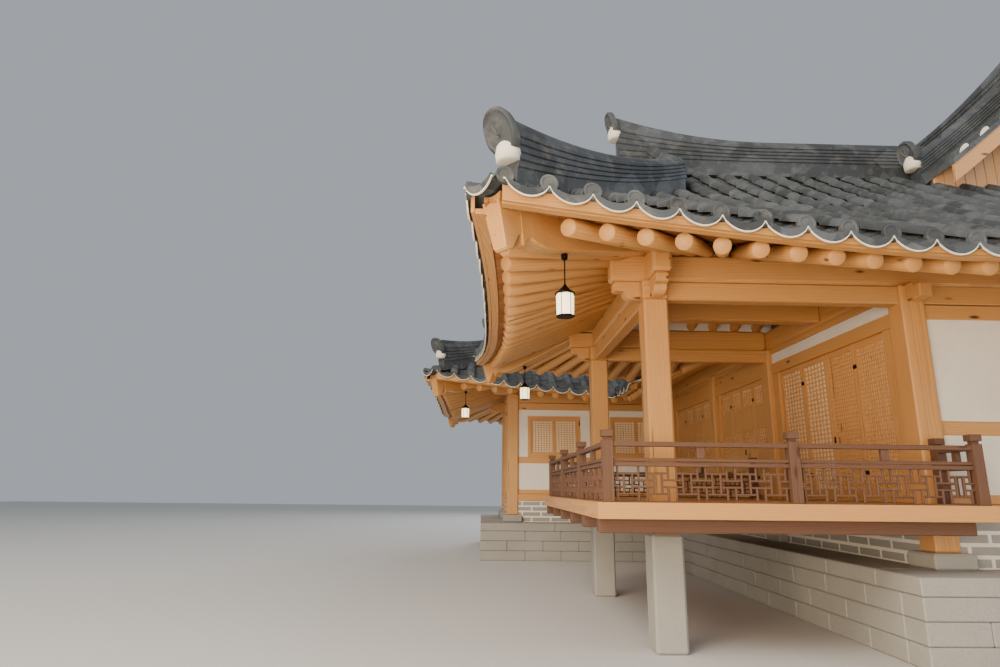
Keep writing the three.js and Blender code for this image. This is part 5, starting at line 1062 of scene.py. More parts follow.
# Eave edge: each concave end tile, also the broad one on a corner, has a clay apron that hangs
# with a curved lower edge, and along that edge a thin lip of white lime. A round end with a raised
# rim closes each cover tile.
APRON_CUSP, APRON_LOW = 0.105, 0.215
LIP, LIP_DEPTH = 0.012, 0.016
END_RADIUS = 0.073
PAN_PAST, COVER_PAST = 0.05, 0.06


APRON, APRON_SHARE, APRON_POWER = 0.02, 0.985, 0.75
LIP_START, LIP_PAST, LIP_DROP, LIP_GAP = 0.002, 1.09, 0.004, 0.0005
# The round end's section, as distance from the eave and share of its radius
END_PROFILE = [(0.012, 0.03), (0.012, 0.66), (0.006, 0.74), (0.006, 0.93), (0.012, 1), (0.05, 1)]


def strips(slope, s, near, far, above, below, height=tile_height):
    """Closed bars along the eave, one for each row of s, between two distances from the eave and
    two offsets from a height. The section is a rectangle and the offsets may vary along s."""
    edge = low_edge(slope, s)
    corners = [(near, below), (far, below), (far, above), (near, above)]
    rings = np.stack([on_slope(slope, s, edge + d, lambda x: height(x * 0), offset + 0 * s)
                      for d, offset in corners], axis=2)
    return tubes(rings)


def eave_aprons(slope, pans, width):
    """Aprons at the ends of rows of concave tiles, and the lime lips that run on past the cusps."""
    u = np.linspace(-1, 1, 15)
    top = -PAN_EDGE - hollow(u) + 0 * pans[:, None]
    low = -APRON_CUSP - (APRON_LOW - APRON_CUSP) * (1 - u * u) ** APRON_POWER + 0 * pans[:, None]
    aprons = strips(slope, pans[:, None] + u * width * APRON_SHARE, 0, APRON, top, low)
    past = np.concatenate([[-LIP_PAST], u, [LIP_PAST]])
    low = np.concatenate([low[:, :1] - LIP_DROP, low, low[:, -1:] - LIP_DROP], axis=1)
    lips = strips(slope, pans[:, None] + past * width, LIP_START, LIP_DEPTH, low - LIP_GAP, low - LIP)
    return aprons, lips


def cover_ends(slope, covers):
    """Round ends of cover tiles: a sunk disc, a raised rim and a short neck."""
    turn = np.linspace(0, math.tau, 20, endpoint=False)
    edge = low_edge(slope, covers)[:, None]
    rings = np.stack([on_slope(slope, covers[:, None] + END_RADIUS * share * np.cos(turn), edge + d,
                               lambda x: tile_height(x * 0),
                               END_RADIUS * share * np.sin(turn) - COVER_CENTRE + LAP_STEP)
                      for d, share in END_PROFILE], axis=1)
    return tubes(rings)


for name, slope in SLOPES.items():
    covers, pans, half_pitch = tile_lines(slope)
    pans, covers = [middles[(middles > -past) & (middles < slope["length"] + past)]
                    for middles, past in ((pans, PAN_PAST), (covers, COVER_PAST))]
    aprons, lips = eave_aprons(slope, pans, half_pitch)
    piece(f"{name}_eave_tiles", merge(plain(aprons), plain(cover_ends(slope, covers))), tile,
          smooth=35, clean=True)
    piece(f"{name}_eave_lime", plain(lips), plaster, smooth=35, clean=True)
aprons, lips = zip(*(eave_aprons(slope, MIDDLE_ROW, CORNER_HALF) for slope in CORNER_SLOPES))
piece("corner_aprons", merge(*map(plain, aprons)), tile, smooth=35, clean=True)
piece("corner_eave_lime", merge(*map(plain, lips)), plaster, smooth=35, clean=True)

# Scalloped boards and battens: pine boards cut to the tiles' curves stand on a square batten
# that is nailed along the rafters' ends. Above the rafters lie the roof boards.
BOARD_START, BOARD_NEAR, BOARD_FAR = 0.11, 0.05, 0.08
BATTEN_NEAR, BATTEN_FAR, BATTEN_HEIGHT = 0.085, 0.165, 0.045
BATTEN_SUNK, SEAT_GAP = 0.012, 0.002
CORNER_BLOCK_HALF, CORNER_BLOCK_NEAR, CORNER_BLOCK_FAR = 0.088, 0.045, 0.4


def tile_seat(u):
    """How far the underside of a concave tile lies below the tiles' height."""
    return PAN_EDGE + LAP_STEP + hollow(u) + PAN_THICKNESS + SEAT_GAP


def eave_boards(slope, s, u):
    """Scalloped board and batten. u is the place across the concave tile over each s."""
    edge = low_edge(slope, s)
    raised = lift(*plan(slope, s, edge))
    tops = tile_height(BOARD_NEAR) - tile_seat(u) + raised
    foot = rafter_height(edge + BATTEN_NEAR) + raised
    rings = []
    for near, far, high, low in ((BOARD_NEAR, BOARD_FAR, tops, foot + BATTEN_SUNK),
                                 (BATTEN_NEAR, BATTEN_FAR, foot + BATTEN_HEIGHT, foot)):
        corners = [(near, low), (far, low), (far, high), (near, high)]
        rings.append(np.stack([np.stack([*plan(slope, s, edge + d), z], axis=-1)
                               for d, z in corners], axis=2))
    points, faces = tubes(np.concatenate(rings))
    grain = np.stack([np.tile(np.repeat(s[0], 4), 2), points[:, 2] - EAVE_TOP,
                      np.tile([0.1, 0.13, 0.13, 0.1], 2 * s.size)], axis=1)
    return points, faces, grain


for name, slope in SLOPES.items():
    covers, _, half_pitch = tile_lines(slope)
    pitch = 2 * half_pitch
    first, last = [BOARD_START * corner for corner in slope["corners"]]
    s = np.linspace(first, slope["length"] - last, 10 * round(slope["length"] / pitch) + 1)[None]
    u = ((s - covers[0]) / pitch % 1) * 2 - 1
    piece(f"{name}_eave_boards", eave_boards(slope, s, u), pine, clean=True)


def corner_block(slope):
    """The block on the hip rafter's nose, hollowed on top to seat the corner tile."""
    s = np.linspace(-CORNER_BLOCK_HALF, CORNER_BLOCK_HALF, 9)
    rings = []
    for q, top in ((CORNER_BLOCK_NEAR, False), (CORNER_BLOCK_FAR, False),
                   (CORNER_BLOCK_FAR, True), (CORNER_BLOCK_NEAR, True)):
        x, y = plan(slope, s, q + 0 * s)
        z = (hip_tile_height(q) - tile_seat(s / CORNER_HALF) if top
             else rafter_height(q / DIAGONAL) - BATTEN_SUNK + 0 * s)
        rings.append(np.stack([x, y, z + lift(*plan(slope, 0, q))], axis=-1))
    points, faces = tubes(np.stack(rings, axis=1)[None])
    return points, faces, points[:, [1, 0, 2]] * [1, 1, 0.5]


piece("corner_blocks", merge(*map(corner_block, CORNER_SLOPES)), pine, clean=True)

# Roof boards: pine planks laid up the slope over the rafters, with open joints, and the earth
# bed on top of them in the same slab.
BED_START, BED_DEPTH, BED_LEAST = 0.17, 0.235, 0.012


def bed(slope):
    """Closed slab of the boards and earth: the underside follows the rafters' tops."""
    points = np.array(slope["high"])
    first = 0.0 if slope["corners"][0] else points[:, 0].min()
    last = slope["length"] if slope["corners"][1] else points[:, 0].max()
    s = np.unique(np.concatenate([np.linspace(first, last, 46), np.clip(points[:, 0], first, last)]))
    low = low_edge(slope, s) + BED_START
    high = np.maximum(high_edge(slope, s), low)
    distance = low + (high - low) * np.linspace(0, 1, 13)[:, None]
    under = on_slope(slope, s, distance, rafter_height)
    over = on_slope(slope, s, distance,
                    lambda x: np.maximum(tile_height(x) - BED_DEPTH, rafter_height(x) + BED_LEAST))
    points, faces = tubes(np.concatenate([under, over[::-1]]).transpose(1, 0, 2)[None])
    run = np.concatenate([distance, distance[::-1]]).transpose(1, 0).ravel()
    grain = np.stack([run, np.repeat(s, run.size // s.size), np.zeros(run.size)], axis=1)
    return points, faces, grain


# Sawn pine boards: each plank has its own tone, fine streaks along it and a dark joint beside it,
# and the eye counts the planks under the eaves.
ROOF_BOARD = 0.15
boards_finish, boards_shader = finish("sawn_pine_boards", "#C48A50", 0.65)
board_grain = node(boards_finish, "Attribute", attribute_name="grain").outputs["Vector"]
across_boards = node(boards_finish, "SeparateXYZ", {"Vector": board_grain}).outputs["Y"]
board_share = node(boards_finish, "Math", {0: across_boards, 1: 1 / ROOF_BOARD}, operation="MULTIPLY")
board_number = node(boards_finish, "Math", {0: board_share}, operation="FLOOR")
board_tone = node(boards_finish, "TexWhiteNoise", {"W": board_number}, noise_dimensions="1D")
within = node(boards_finish, "Math", {0: board_share}, operation="FRACT")
joint = node(boards_finish, "Math", {0: within, 1: 0.04}, operation="LESS_THAN")
streak_place = node(boards_finish, "Mapping", {"Vector": board_grain, "Scale": (2, 60, 60)})
streaks = node(boards_finish, "TexNoise", {"Vector": streak_place, "Scale": 1, "Detail": 5})
colours(boards_finish, boards_shader, "#B87A40", (board_tone, "#D69E62"), (streaks, "#8E5525"),
        (joint, "#2A170B"))
for name, slope in SLOPES.items():
    piece(f"{name}_roof_boards", bed(slope), boards_finish, clean=True)


# Rafters: peeled pine logs 150 mm thick, laid on the purlins and notched over them. Those by
# an outer corner fan out from a point on the hip rafter.
RAFTER, RAFTER_PITCH = 0.15, 0.32
FAN_CENTRE, FAN_LENGTH, FANS = OVERHANG + 1.3, 0.54, 8
FAN_SWING = 0.8 * CORNER_FLARE
FIRST_RAFTER = FAN_CENTRE + RAFTER_PITCH / 2
HIP_CLEAR, VALLEY_CLEAR = 0.24, 0.11
VALLEY_START = 0.22 - OVERHANG
SIDES_OF_LOG, LOG_ARRIS = 14, 0.008
# Shares of the radius at a log's ends, which are pinched, and just inside them
LOG_SHARES = (0.88, 1, 0.97, 0.85)


def logs(starts, ends, radius):
    """Round logs between points. Rings of one section lie square to the axis: a pinched one at
    each end closes it with a soft arris."""
    axis = ends - starts
    length = np.linalg.norm(axis, axis=1)
    axis /= length[:, None]
    side = np.cross(axis, [0, 0, 1])
    side /= np.linalg.norm(side, axis=1)[:, None]
    up = np.cross(side, axis)
    turn = np.linspace(0, math.tau, SIDES_OF_LOG, endpoint=False)
    section = (side[:, None] * np.cos(turn)[:, None] + up[:, None] * np.sin(turn)[:, None]) * radius
    reach = np.stack([0 * length, 0 * length + LOG_ARRIS, length - LOG_ARRIS, length], axis=1)
    share = np.array(LOG_SHARES)
    rings = (starts[:, None, None] + axis[:, None, None] * reach[:, :, None, None]
             + section[:, None] * share[:, None, None])
    points, faces = tubes(rings)
    local = np.broadcast_to(np.stack([np.cos(turn), np.sin(turn)], axis=1) * radius, (*rings.shape[:3], 2))
    along = np.broadcast_to((reach + shifts(len(starts))[:, :1])[:, :, None, None], (*rings.shape[:3], 1))
    grain = np.concatenate([along, local * share[:, None, None]], axis=3).reshape(-1, 3)
    return points, [face[::-1] for face in faces], grain


def let_down(slope, s0, d0, s1, d1):
    """Logs under the boards between two places, let down until their tops clear the boards."""
    ends = [on_slope(slope, s, d, rafter_height) for s, d in ((s0, d0), (s1, d1))]
    t = np.linspace(0, 1, 25)[:, None]
    s, d = s0 + (s1 - s0) * t, d0 + (d1 - d0) * t
    straight = ends[0][:, 2] + (ends[1][:, 2] - ends[0][:, 2]) * t
    excess = (straight - on_slope(slope, s, d, rafter_height)[..., 2]).max(axis=0)
    drop = excess + RAFTER / 2 / math.cos(math.atan(RAFTER_SLOPE)) + 0.002
    for end in ends:
        end[:, 2] -= drop
    return ends


# The eave node that each slope's rafters replace, and how far in they reach
EAVES = {"front": ("front_eave", 3.25), "pavilion_left": ("pavilion_left_eave", 2.15),
         "pavilion_back": ("pavilion_back_eave", 3.25), "court": ("court_eave", 2.8),
         "back_front": ("back_wing_front_eave", 2.8), "back_left": ("back_wing_left_eave", 2.15),
         "rear": ("rear_eave", 2.8), "right": ("right_eave", 2.8)}
for name, slope in SLOPES.items():
    eave_node, reach = EAVES[name]
    length, (first_corner, last_corner) = slope["length"], slope["corners"]
    first = FIRST_RAFTER if first_corner else VALLEY_START
    last = length - (FIRST_RAFTER if last_corner else VALLEY_START)
    s = np.linspace(first, last, round((last - first) / RAFTER_PITCH) + 1)
    near = np.minimum(s if first_corner else np.inf, length - s if last_corner else np.inf)
    past = np.maximum(-s, s - length)
    tip = RAFTER_INSET - FAN_SWING * corner_fade(slope, s)
    inner = np.minimum(reach, near - HIP_CLEAR)
    if name == "front":
        over_wing = s > COURT + WING_GABLE - RAFTER_PITCH - LEFT
        inner = np.where(over_wing, np.minimum(EAVES["rear"][1], inner), inner)
    groups = [let_down(slope, s, np.maximum(tip, past + VALLEY_CLEAR), s, inner)]
    for end in np.flatnonzero(slope["corners"]):
        fan = FIRST_RAFTER - RAFTER_PITCH * np.arange(1, FANS + 1)
        fan, centre = (length - fan, length - FAN_CENTRE) if end else (fan, FAN_CENTRE)
        inner = np.full(FANS, RAFTER_INSET + (FAN_CENTRE - RAFTER_INSET) * FAN_LENGTH)
        groups.append(let_down(slope, fan, RAFTER_INSET - FAN_SWING * corner_fade(slope, fan),
                               fan + (centre - fan) * FAN_LENGTH, inner))
    starts, ends = map(np.concatenate, zip(*groups))
    piece(f"{name}_rafters", logs(starts, ends, RAFTER / 2), pine, [eave_node], smooth=50)


# Purlins: square pine beams with rounded arrises lie on the columns. They cross at the corners
# and show rounded heads there. Lime plaster fills the gaps between the rafters above them.
PURLIN_TOP, PURLIN_HEAD = 3.87, 0.45
CHEEK, PURLIN_ARRIS = 0.005, 0.03
purlins = [("x", 0, -PURLIN_HEAD, X_RIGHT + PURLIN_HEAD), ("x", Y_PAVILION, -PURLIN_HEAD, WING_EDGE),
           ("x", Y_BACK, X_BACK_LEFT - PURLIN_HEAD, WING_EDGE),
           ("x", Y_REAR, X_BACK_LEFT - PURLIN_HEAD, X_RIGHT + PURLIN_HEAD),
           ("y", 0, -PURLIN_HEAD, Y_PAVILION + PURLIN_HEAD),
           ("y", X_COURT, HALF_PURLIN, Y_REAR - HALF_PURLIN),
           ("y", X_RIGHT, -PURLIN_HEAD, Y_REAR + PURLIN_HEAD),
           ("y", X_BACK_LEFT, Y_BACK - PURLIN_HEAD, Y_REAR + PURLIN_HEAD)]
purlin_boxes = [wall_box(*run, 2 * HALF_PURLIN, COLUMN_TOP, PURLIN_TOP - CHEEK * (run[0] == "y"))
                for run in purlins]
piece("purlins", blocks(purlin_boxes, PURLIN_ARRIS), pine)
FILLING_NEAR, FILLING_FAR = OVERHANG - 0.02, OVERHANG + 0.05
for name, slope in SLOPES.items():
    first, last = [OVERHANG if corner else -OVERHANG for corner in slope["corners"]]
    s = np.linspace(first, slope["length"] - last, 40)[None]
    rings = []
    for d, top in ((FILLING_NEAR, False), (FILLING_FAR, False), (FILLING_FAR, True), (FILLING_NEAR, True)):
        x, y = plan(slope, s, d)
        z = rafter_height(d) + lift(x, y) - 0.002 if top else PURLIN_TOP - 0.01 + 0 * s
        rings.append(np.stack([x, y, z], axis=-1))
    filling = tubes(np.stack(rings, axis=2))
    piece(f"{name}_rafter_filling", (*filling, None), plaster, clean=True)


# Hip rafters: deep hewn beams that carry each outer corner, with a rounded nose cut at the tip.
HIP_WIDTH = 0.18
HIP_TIP, HIP_TOP = 0.1, 2.9
HIP_TIP_UNDER = 3.29
NOSE, NOSE_REACH = 0.08, 0.3
HIP_ARRIS, NOSE_PINCH = 0.015, 0.02
HIP_SEAT, SEAT_DEPTH = OVERHANG - HALF_PURLIN, 0.02
SEAT_SLOPE = (PURLIN_TOP - HIP_TIP_UNDER) / (HIP_SEAT - HIP_TIP)
# The carved curl under the tip, as distance from the tip and height over the plain lower edge,
# and how far the plain part starts behind it
CURL = np.array([(0, 0.025), (0.015, 0.005), (0.035, 0), (0.055, 0.01), (0.075, 0.06), (0.1, 0.125),
                 (0.125, 0.135), (0.138, 0.05), (0.15, 0.04), (0.17, 0.085), (0.2, 0.1), (0.25, 0.06),
                 (0.32, 0.025), (0.45, 0)])
CURL_END = 0.6
hip_parts = []
for cx, cy, ix, iy in CORNERS:
    d = np.concatenate([HIP_TIP + CURL[:, 0], np.linspace(HIP_TIP + CURL_END, HIP_TOP, 14)])
    x, y = cx + ix * d, cy + iy * d
    nose = np.maximum(0, 1 - (d - HIP_TIP) / NOSE_REACH)
    top = rafter_height(d) + lift(x, y) - 0.004
    under = np.where(d > HIP_SEAT, PURLIN_TOP + RAFTER_SLOPE * (d - HIP_SEAT),
                     HIP_TIP_UNDER + SEAT_SLOPE * (d - HIP_TIP)) - SEAT_DEPTH
    under[:len(CURL)] += CURL[:, 1]
    side = np.array([-iy, ix]) / DIAGONAL * HIP_WIDTH / 2
    ring = []
    for sign, z, inset, out in ((-1, under, HIP_ARRIS, 0), (1, under, HIP_ARRIS, 0),
                                (1, under + HIP_ARRIS, 0, 0), (1, top, 0, NOSE), (-1, top, 0, NOSE),
                                (-1, under + HIP_ARRIS, 0, 0)):
        pinch = 0 if out else nose * NOSE_PINCH
        share = sign * (1 - (inset + pinch) / (HIP_WIDTH / 2))
        ring.append(np.stack([x + side[0] * share - ix * nose * out,
                              y + side[1] * share - iy * nose * out, z], axis=-1))
    points, faces = tubes(np.stack(ring, axis=1)[None])
    if ix * iy < 0:
        faces = [face[::-1] for face in faces]
    grain = np.stack([np.repeat(d, len(ring)), points[:, 2] - COLUMN_TOP - 0.02,
                      np.tile([0.0, 0.1, 0.1, 0.1, 0, 0], d.size)], axis=1)
    hip_parts.append((points, faces, grain))
piece("hip_rafters", merge(*hip_parts), pine, clean=True)


# Ridges: flat tiles are stacked in five courses over a bed of lime, and a row of half-round
# tiles caps them. They turn up at the free ends.
RIDGE_HALF = 0.1
MAIN_RIDGE, HIP_RIDGE, SUNK = 0.39, 0.34, 0.16
MAIN_TIP, MAIN_TIP_REACH = 0.33, 2.1
HIP_TIP_RISE, HIP_TIP_REACH = 0.2, 2.6
VERGE = 0.48
COURSES, COURSE_FOOT, COURSE = 5, 0.12, 0.13
FOOT_SHARE, GROOVE_SHARE, CAP_WIDTH, CAP_START = 0.82, 0.86, 0.72, 0.78
RIDGE_STEP = 0.16


def ridge_section():
    """Half section of a ridge as width and share of its height: a lime foot, five courses that
    each stand out over a groove, and a round cap."""
    line = [(FOOT_SHARE, -1.0), (FOOT_SHARE, 0.0)]
    for low, high in pairwise(COURSE_FOOT + COURSE * k for k in range(COURSES + 1)):
        line += [(GROOVE_SHARE, low), (1.0, low + 0.02), (1.0, high - 0.03), (GROOVE_SHARE, high - 0.02)]
    turn = np.linspace(0.1, math.pi / 2, 5)
    line += [(CAP_WIDTH * math.cos(t), CAP_START + (1 - CAP_START) * math.sin(t)) for t in turn[:-1]]
    return np.array(line + [(0.0, 1.0)])


SECTION = ridge_section()
RING = np.concatenate([SECTION, SECTION[-2::-1] * [-1, 1]])


def swept_ridge(start, end, base, height):
    """Sweeps the section along a plan line. base and height are functions of the plan place and
    of the distance along."""
    start, end = np.array(start, float), np.array(end, float)
    length = np.linalg.norm(end - start)
    t = np.linspace(0, 1, max(4, round(length / RIDGE_STEP)))
    places = start + (end - start) * t[:, None]
    foot = base(places[:, 0], places[:, 1])
    direction = (end - start) / length
    side = np.array([direction[1], -direction[0]])
    tall = height(length * t, length)
    z = foot[:, None] + RING[:, 1] * np.where(RING[:, 1] < 0, SUNK, tall[:, None])
    xy = places[:, None] + side * (RING[:, :1] * RIDGE_HALF)
    rings = np.concatenate([xy, z[..., None]], axis=2)[None]
    points, faces = tubes(rings)
    return points, [face[::-1] for face in faces], np.zeros_like(points)


def slope_top(name):
    """Height of a slope's tiles over a plan place."""
    slope = SLOPES[name]

    def height(x, y):
        d = (x - slope["start"][0]) * slope["inward"][0] + (y - slope["start"][1]) * slope["inward"][1]
        return tile_height(d) + lift(x, y)
    return height


def main_height(free):
    """The main ridge's height, with a tip at each free end that grows with the square."""
    def height(along, length):
        tips = [MAIN_TIP * np.maximum(0, 1 - far / MAIN_TIP_REACH) ** 2 for far in (along, length - along)]
        return MAIN_RIDGE + free[0] * tips[0] + free[1] * tips[1]
    return height


def hip_height(along, length):
    """A hip ridge's height, which grows with the square towards its foot at the corner."""
    return HIP_RIDGE + HIP_TIP_RISE * np.maximum(0, 1 - (length - along) / HIP_TIP_REACH) ** 2


def plain_height(along, length):
    """A descending ridge's height, the same all along."""
    return HIP_RIDGE + 0 * along


GABLE_X, BACK_GABLE_X = LEFT + PAVILION_GABLE, BACK_LEFT + BACK_GABLE
WING_X = (X_COURT + X_RIGHT) / 2
GABLE_Y, REAR_GABLE_Y = FRONT + WING_GABLE, REAR - WING_GABLE
FOOT_LEFT, FOOT_RIGHT = COURT + WING_GABLE, RIGHT - WING_GABLE
RIDGE_RUN = 0.4


def left_ridges(x, middle, rise, feet):
    """The ridges of a wing with a gable on its left: the main one, which runs on under the long
    wing's slope, and on each side a descending and a hip one. A foot is the place across the wing
    where one meets the other, the corner and the slope."""
    return dict(main=((x - VERGE, middle), (COURT + rise + RIDGE_RUN, middle), feet[0][2], (1, 0)),
                falls=[((x, middle), (x, y), side) for y, _, side in feet],
                hips=[((x, y), corner, side) for y, corner, side in feet])


RIDGES = {
    "pavilion_ridges": left_ridges(GABLE_X, RIDGE_Y, PAVILION_RISE, [
        (FRONT + PAVILION_GABLE, 0, "front"), (PAVILION_BACK - PAVILION_GABLE, 1, "pavilion_back")]),
    "back_wing_ridges": left_ridges(BACK_GABLE_X, Y_BACK_MIDDLE, BACK_RISE, [
        (BACK_FRONT + BACK_GABLE, 4, "back_front"), (REAR - BACK_GABLE, 5, "rear")]),
    "wing_ridges": dict(
        main=((WING_X, GABLE_Y - VERGE), (WING_X, REAR_GABLE_Y + VERGE), "court", (1, 1)),
        falls=[((WING_X, y), (x, y), side) for y in (GABLE_Y, REAR_GABLE_Y)
               for x, side in ((FOOT_LEFT, "court"), (FOOT_RIGHT, "right"))],
        hips=[((FOOT_RIGHT, GABLE_Y), 2, "front"), ((FOOT_RIGHT, REAR_GABLE_Y), 3, "rear")]),
}
HIP_END = 0.18
for name, group in RIDGES.items():
    start, end, side, free = group["main"]
    base = slope_top(side)
    crest = float(base(*start))
    parts = [swept_ridge(start, end, lambda x, y: crest + 0 * x, main_height(free))]
    for top, foot, side in group["falls"]:
        parts.append(swept_ridge(top, foot, slope_top(side), plain_height))
    for foot, corner, side in group["hips"]:
        cx, cy, ix, iy = CORNERS[corner]
        parts.append(swept_ridge(foot, (cx + ix * HIP_END, cy + iy * HIP_END), slope_top(side), hip_height))
    piece(f"{name}_courses", merge(*parts), tile, [name])


# Ridge end tiles: moulded leaf-shaped clay tiles with a raised rim and a round flower, set leaning
# outwards on a cap of lime against each free ridge end, each hip ridge's foot and the feet of the
# wing's two left descending ridges.
END_HALF, END_HEIGHT, END_FOOT, END_BACK = 0.165, 0.39, 0.45, 0.03
END_MIDDLE, FLOWER_MIDDLE = 0.44, 0.6
RIM_HEIGHT, RIM_PLACE, RIM_SPREAD = 0.016, 0.86, 0.06
PETALS, PETAL_HEIGHT, PETAL_PLACE, PETAL_SPREAD = 8, 0.014, 0.3, 0.12
HEART_HEIGHT, HEART_SPREAD = 0.016, 0.11
MAIN_DROP, LEFT_FOOT_DROP = 0.84, 0.5
CAP_OUT, CAP_ACROSS, CAP_UP, CAP_CUT, CAP_FORWARD, CAP_RISE = 0.1, 0.115, 0.16, 0.45, 0.025, 0.05
MAIN_LEAN, HIP_LEAN = 0.3, 0.5


def end_tile(x, y, z, direction, lean_angle):
    """A leaf in polar form: its radius is the outline's, and its face rises to a rim near the
    edge and to a flower of eight petals round the middle."""
    turn = np.linspace(0, math.tau, 48, endpoint=False)
    share = np.linspace(0, 1, 15)[:, None]
    wide = END_HALF * (1 - END_FOOT * np.maximum(0, -np.sin(turn)) ** 1.5 + 0.06 * np.sin(turn))
    tall = np.where(np.sin(turn) > 0, 1 - END_MIDDLE, END_MIDDLE) * END_HEIGHT
    across = share * wide * np.sign(np.cos(turn)) * np.abs(np.cos(turn)) ** 0.85
    up = END_HEIGHT * END_MIDDLE + share * tall * np.sign(np.sin(turn)) * np.abs(np.sin(turn)) ** 0.9
    rim = RIM_HEIGHT * np.exp(-((share - RIM_PLACE) / RIM_SPREAD) ** 2)
    flower = np.hypot(across, up - END_HEIGHT * FLOWER_MIDDLE) / END_HALF
    petals = PETAL_HEIGHT * np.exp(-((flower - PETAL_PLACE) / PETAL_SPREAD) ** 2)
    petals = petals * (0.55 + 0.45 * np.cos(PETALS * turn))
    heart = HEART_HEIGHT * np.exp(-(flower / HEART_SPREAD) ** 2)
    face = END_BACK + rim + petals + heart - 0.012 * (share > 0.97)
    local = np.concatenate([np.stack([across, face, up], axis=-1),
                            np.stack([across, -END_BACK + 0 * face, up], axis=-1)[::-1]])
    count, size = local.shape[:2]
    lean = math.tan(lean_angle)
    out = local[..., 1] + local[..., 2] * lean
    dx, dy = math.cos(direction), math.sin(direction)
    points = np.stack([x + dx * out - dy * local[..., 0], y + dy * out + dx * local[..., 0],
                       z + local[..., 2]], axis=-1).reshape(-1, 3)
    index = np.arange(count * size).reshape(count, size)
    after = np.roll(index, -1, axis=1)
    quads = np.stack([index[:-1], index[1:], after[1:], after[:-1]], axis=-1).reshape(-1, 4)
    return points, quads[:, ::-1].tolist(), np.zeros_like(points)


def lime_cap(x, y, z, direction):
    """Half a dome of lime under an end tile: a flattened ball that is cut off below."""
    turn = np.linspace(0, math.tau, 20, endpoint=False)
    rise = np.linspace(0, math.pi, 9)[:, None]
    out = CAP_OUT * np.sin(rise) * np.cos(turn) + CAP_FORWARD
    across = CAP_ACROSS * np.sin(rise) * np.sin(turn)
    up = CAP_UP * np.maximum(np.cos(rise), -CAP_CUT) + 0 * turn
    dx, dy = math.cos(direction), math.sin(direction)
    points = np.stack([x + dx * out - dy * across, y + dy * out + dx * across, z + up], axis=-1)
    part = tubes(points[None])
    return part[0], [face[::-1] for face in part[1]], np.zeros_like(part[0])


settings = []
for group in RIDGES.values():
    start, end, side, free = group["main"]
    angle = math.atan2(end[1] - start[1], end[0] - start[0])
    foot = float(slope_top(side)(*start)) + MAIN_RIDGE + MAIN_TIP - END_HEIGHT * MAIN_DROP
    ends = ((start, free[0], angle + math.pi), (end, free[1], angle))
    settings += [(*place, foot, turned, MAIN_LEAN) for place, shown, turned in ends if shown]
    for top, corner, side in group["hips"]:
        cx, cy, ix, iy = CORNERS[corner]
        place = (cx + ix * HIP_END, cy + iy * HIP_END)
        angle = math.atan2(place[1] - top[1], place[0] - top[0])
        foot = float(slope_top(side)(*place)) + HIP_RIDGE + HIP_TIP_RISE - END_HEIGHT
        settings.append((*place, foot, angle, HIP_LEAN))
for y in (GABLE_Y, REAR_GABLE_Y):
    foot = float(slope_top("court")(FOOT_LEFT, y)) + HIP_RIDGE - END_HEIGHT * LEFT_FOOT_DROP
    settings.append((FOOT_LEFT, y, foot, math.pi, MAIN_LEAN))
tiles = [end_tile(*setting) for setting in settings]
caps = [lime_cap(x, y, foot + CAP_RISE, direction) for x, y, foot, direction, _ in settings]
piece("ridge_end_tiles", merge(*tiles), tile, smooth=60, clean=True)
piece("ridge_lime_caps", merge(*caps), plaster, smooth=80, clean=True)


# Gables: upright boards close the triangle under each verge, and a curved bargeboard follows
# the roof's edge. Short cover tiles lie across the verge with lime in their ends.
VERGE_FOOT = 0.17
SLAB_UNDER, SLAB_TOP, COVERS_UNDER = 0.15, 0.075, 0.078


def verge(name, side, gable_at, low, high, sign):
    """Verge of a slope along its gable: a slab of tiles, half-round tiles laid across it and
    lime plugs. gable_at is the place along the eave, sign the way outwards along it."""
    slope = SLOPES[side]
    s0, s1 = gable_at, gable_at + sign * VERGE
    corners = [(s0, -SLAB_UNDER), (s1, -SLAB_UNDER), (s1, -SLAB_TOP), (s0, -SLAB_TOP)]
    d = np.linspace(low, high, 17)
    slab = tubes(np.stack([on_slope(slope, s, d, tile_height, z) for s, z in corners], axis=1)[None])
    count = round((high - low) / COVER_LAP)
    centres = low + (np.arange(count)[:, None] + 0.5) * (high - low) / count

    def rounds(radius, near, far):
        """Half-round tiles or plugs across the verge, between two shares of its width."""
        across, up = arc(9, radius)
        return tubes(np.stack([on_slope(slope, s0 + (s1 - s0) * t, centres + across, tile_height,
                                        up - COVERS_UNDER) for t in (near, far)], axis=1))

    tiles_part = merge(plain(slab), plain(rounds(COVER_RADIUS, 0.0, 1.0)))
    piece(f"{name}_verge", tiles_part, tile, smooth=40, turn_out=True)
    piece(f"{name}_plugs", plain(rounds(COVER_RADIUS - 0.01, 0.96, 1.012)), plaster,
          smooth=40, turn_out=True)


VERGES = [("pavilion_front", "front", PAVILION_GABLE, PAVILION_GABLE, PAVILION_RISE, -1),
          ("pavilion_back", "pavilion_back", PAVILION_RUN - PAVILION_GABLE, PAVILION_GABLE,
           PAVILION_RISE, 1),
          ("back_wing_front", "back_front", BACK_GABLE, BACK_GABLE, BACK_RISE, -1),
          ("back_wing_rear", "rear", REAR_RUN - BACK_GABLE, BACK_GABLE, BACK_RISE, 1),
          ("wing_front_left", "court", BACK_FRONT - FRONT - WING_GABLE, WING_GABLE, WING_RISE, 1),
          ("wing_rear_left", "court", BACK_FRONT - REAR + WING_GABLE, WING_GABLE, WING_RISE, -1),
          ("wing_front_right", "right", WING_GABLE, WING_GABLE, WING_RISE, -1),
          ("wing_rear_right", "right", RIGHT_RUN - WING_GABLE, WING_GABLE, WING_RISE, 1)]
for name, side, gable_at, low, high, sign in VERGES:
    verge(name, side, gable_at, low + VERGE_FOOT, high, sign)


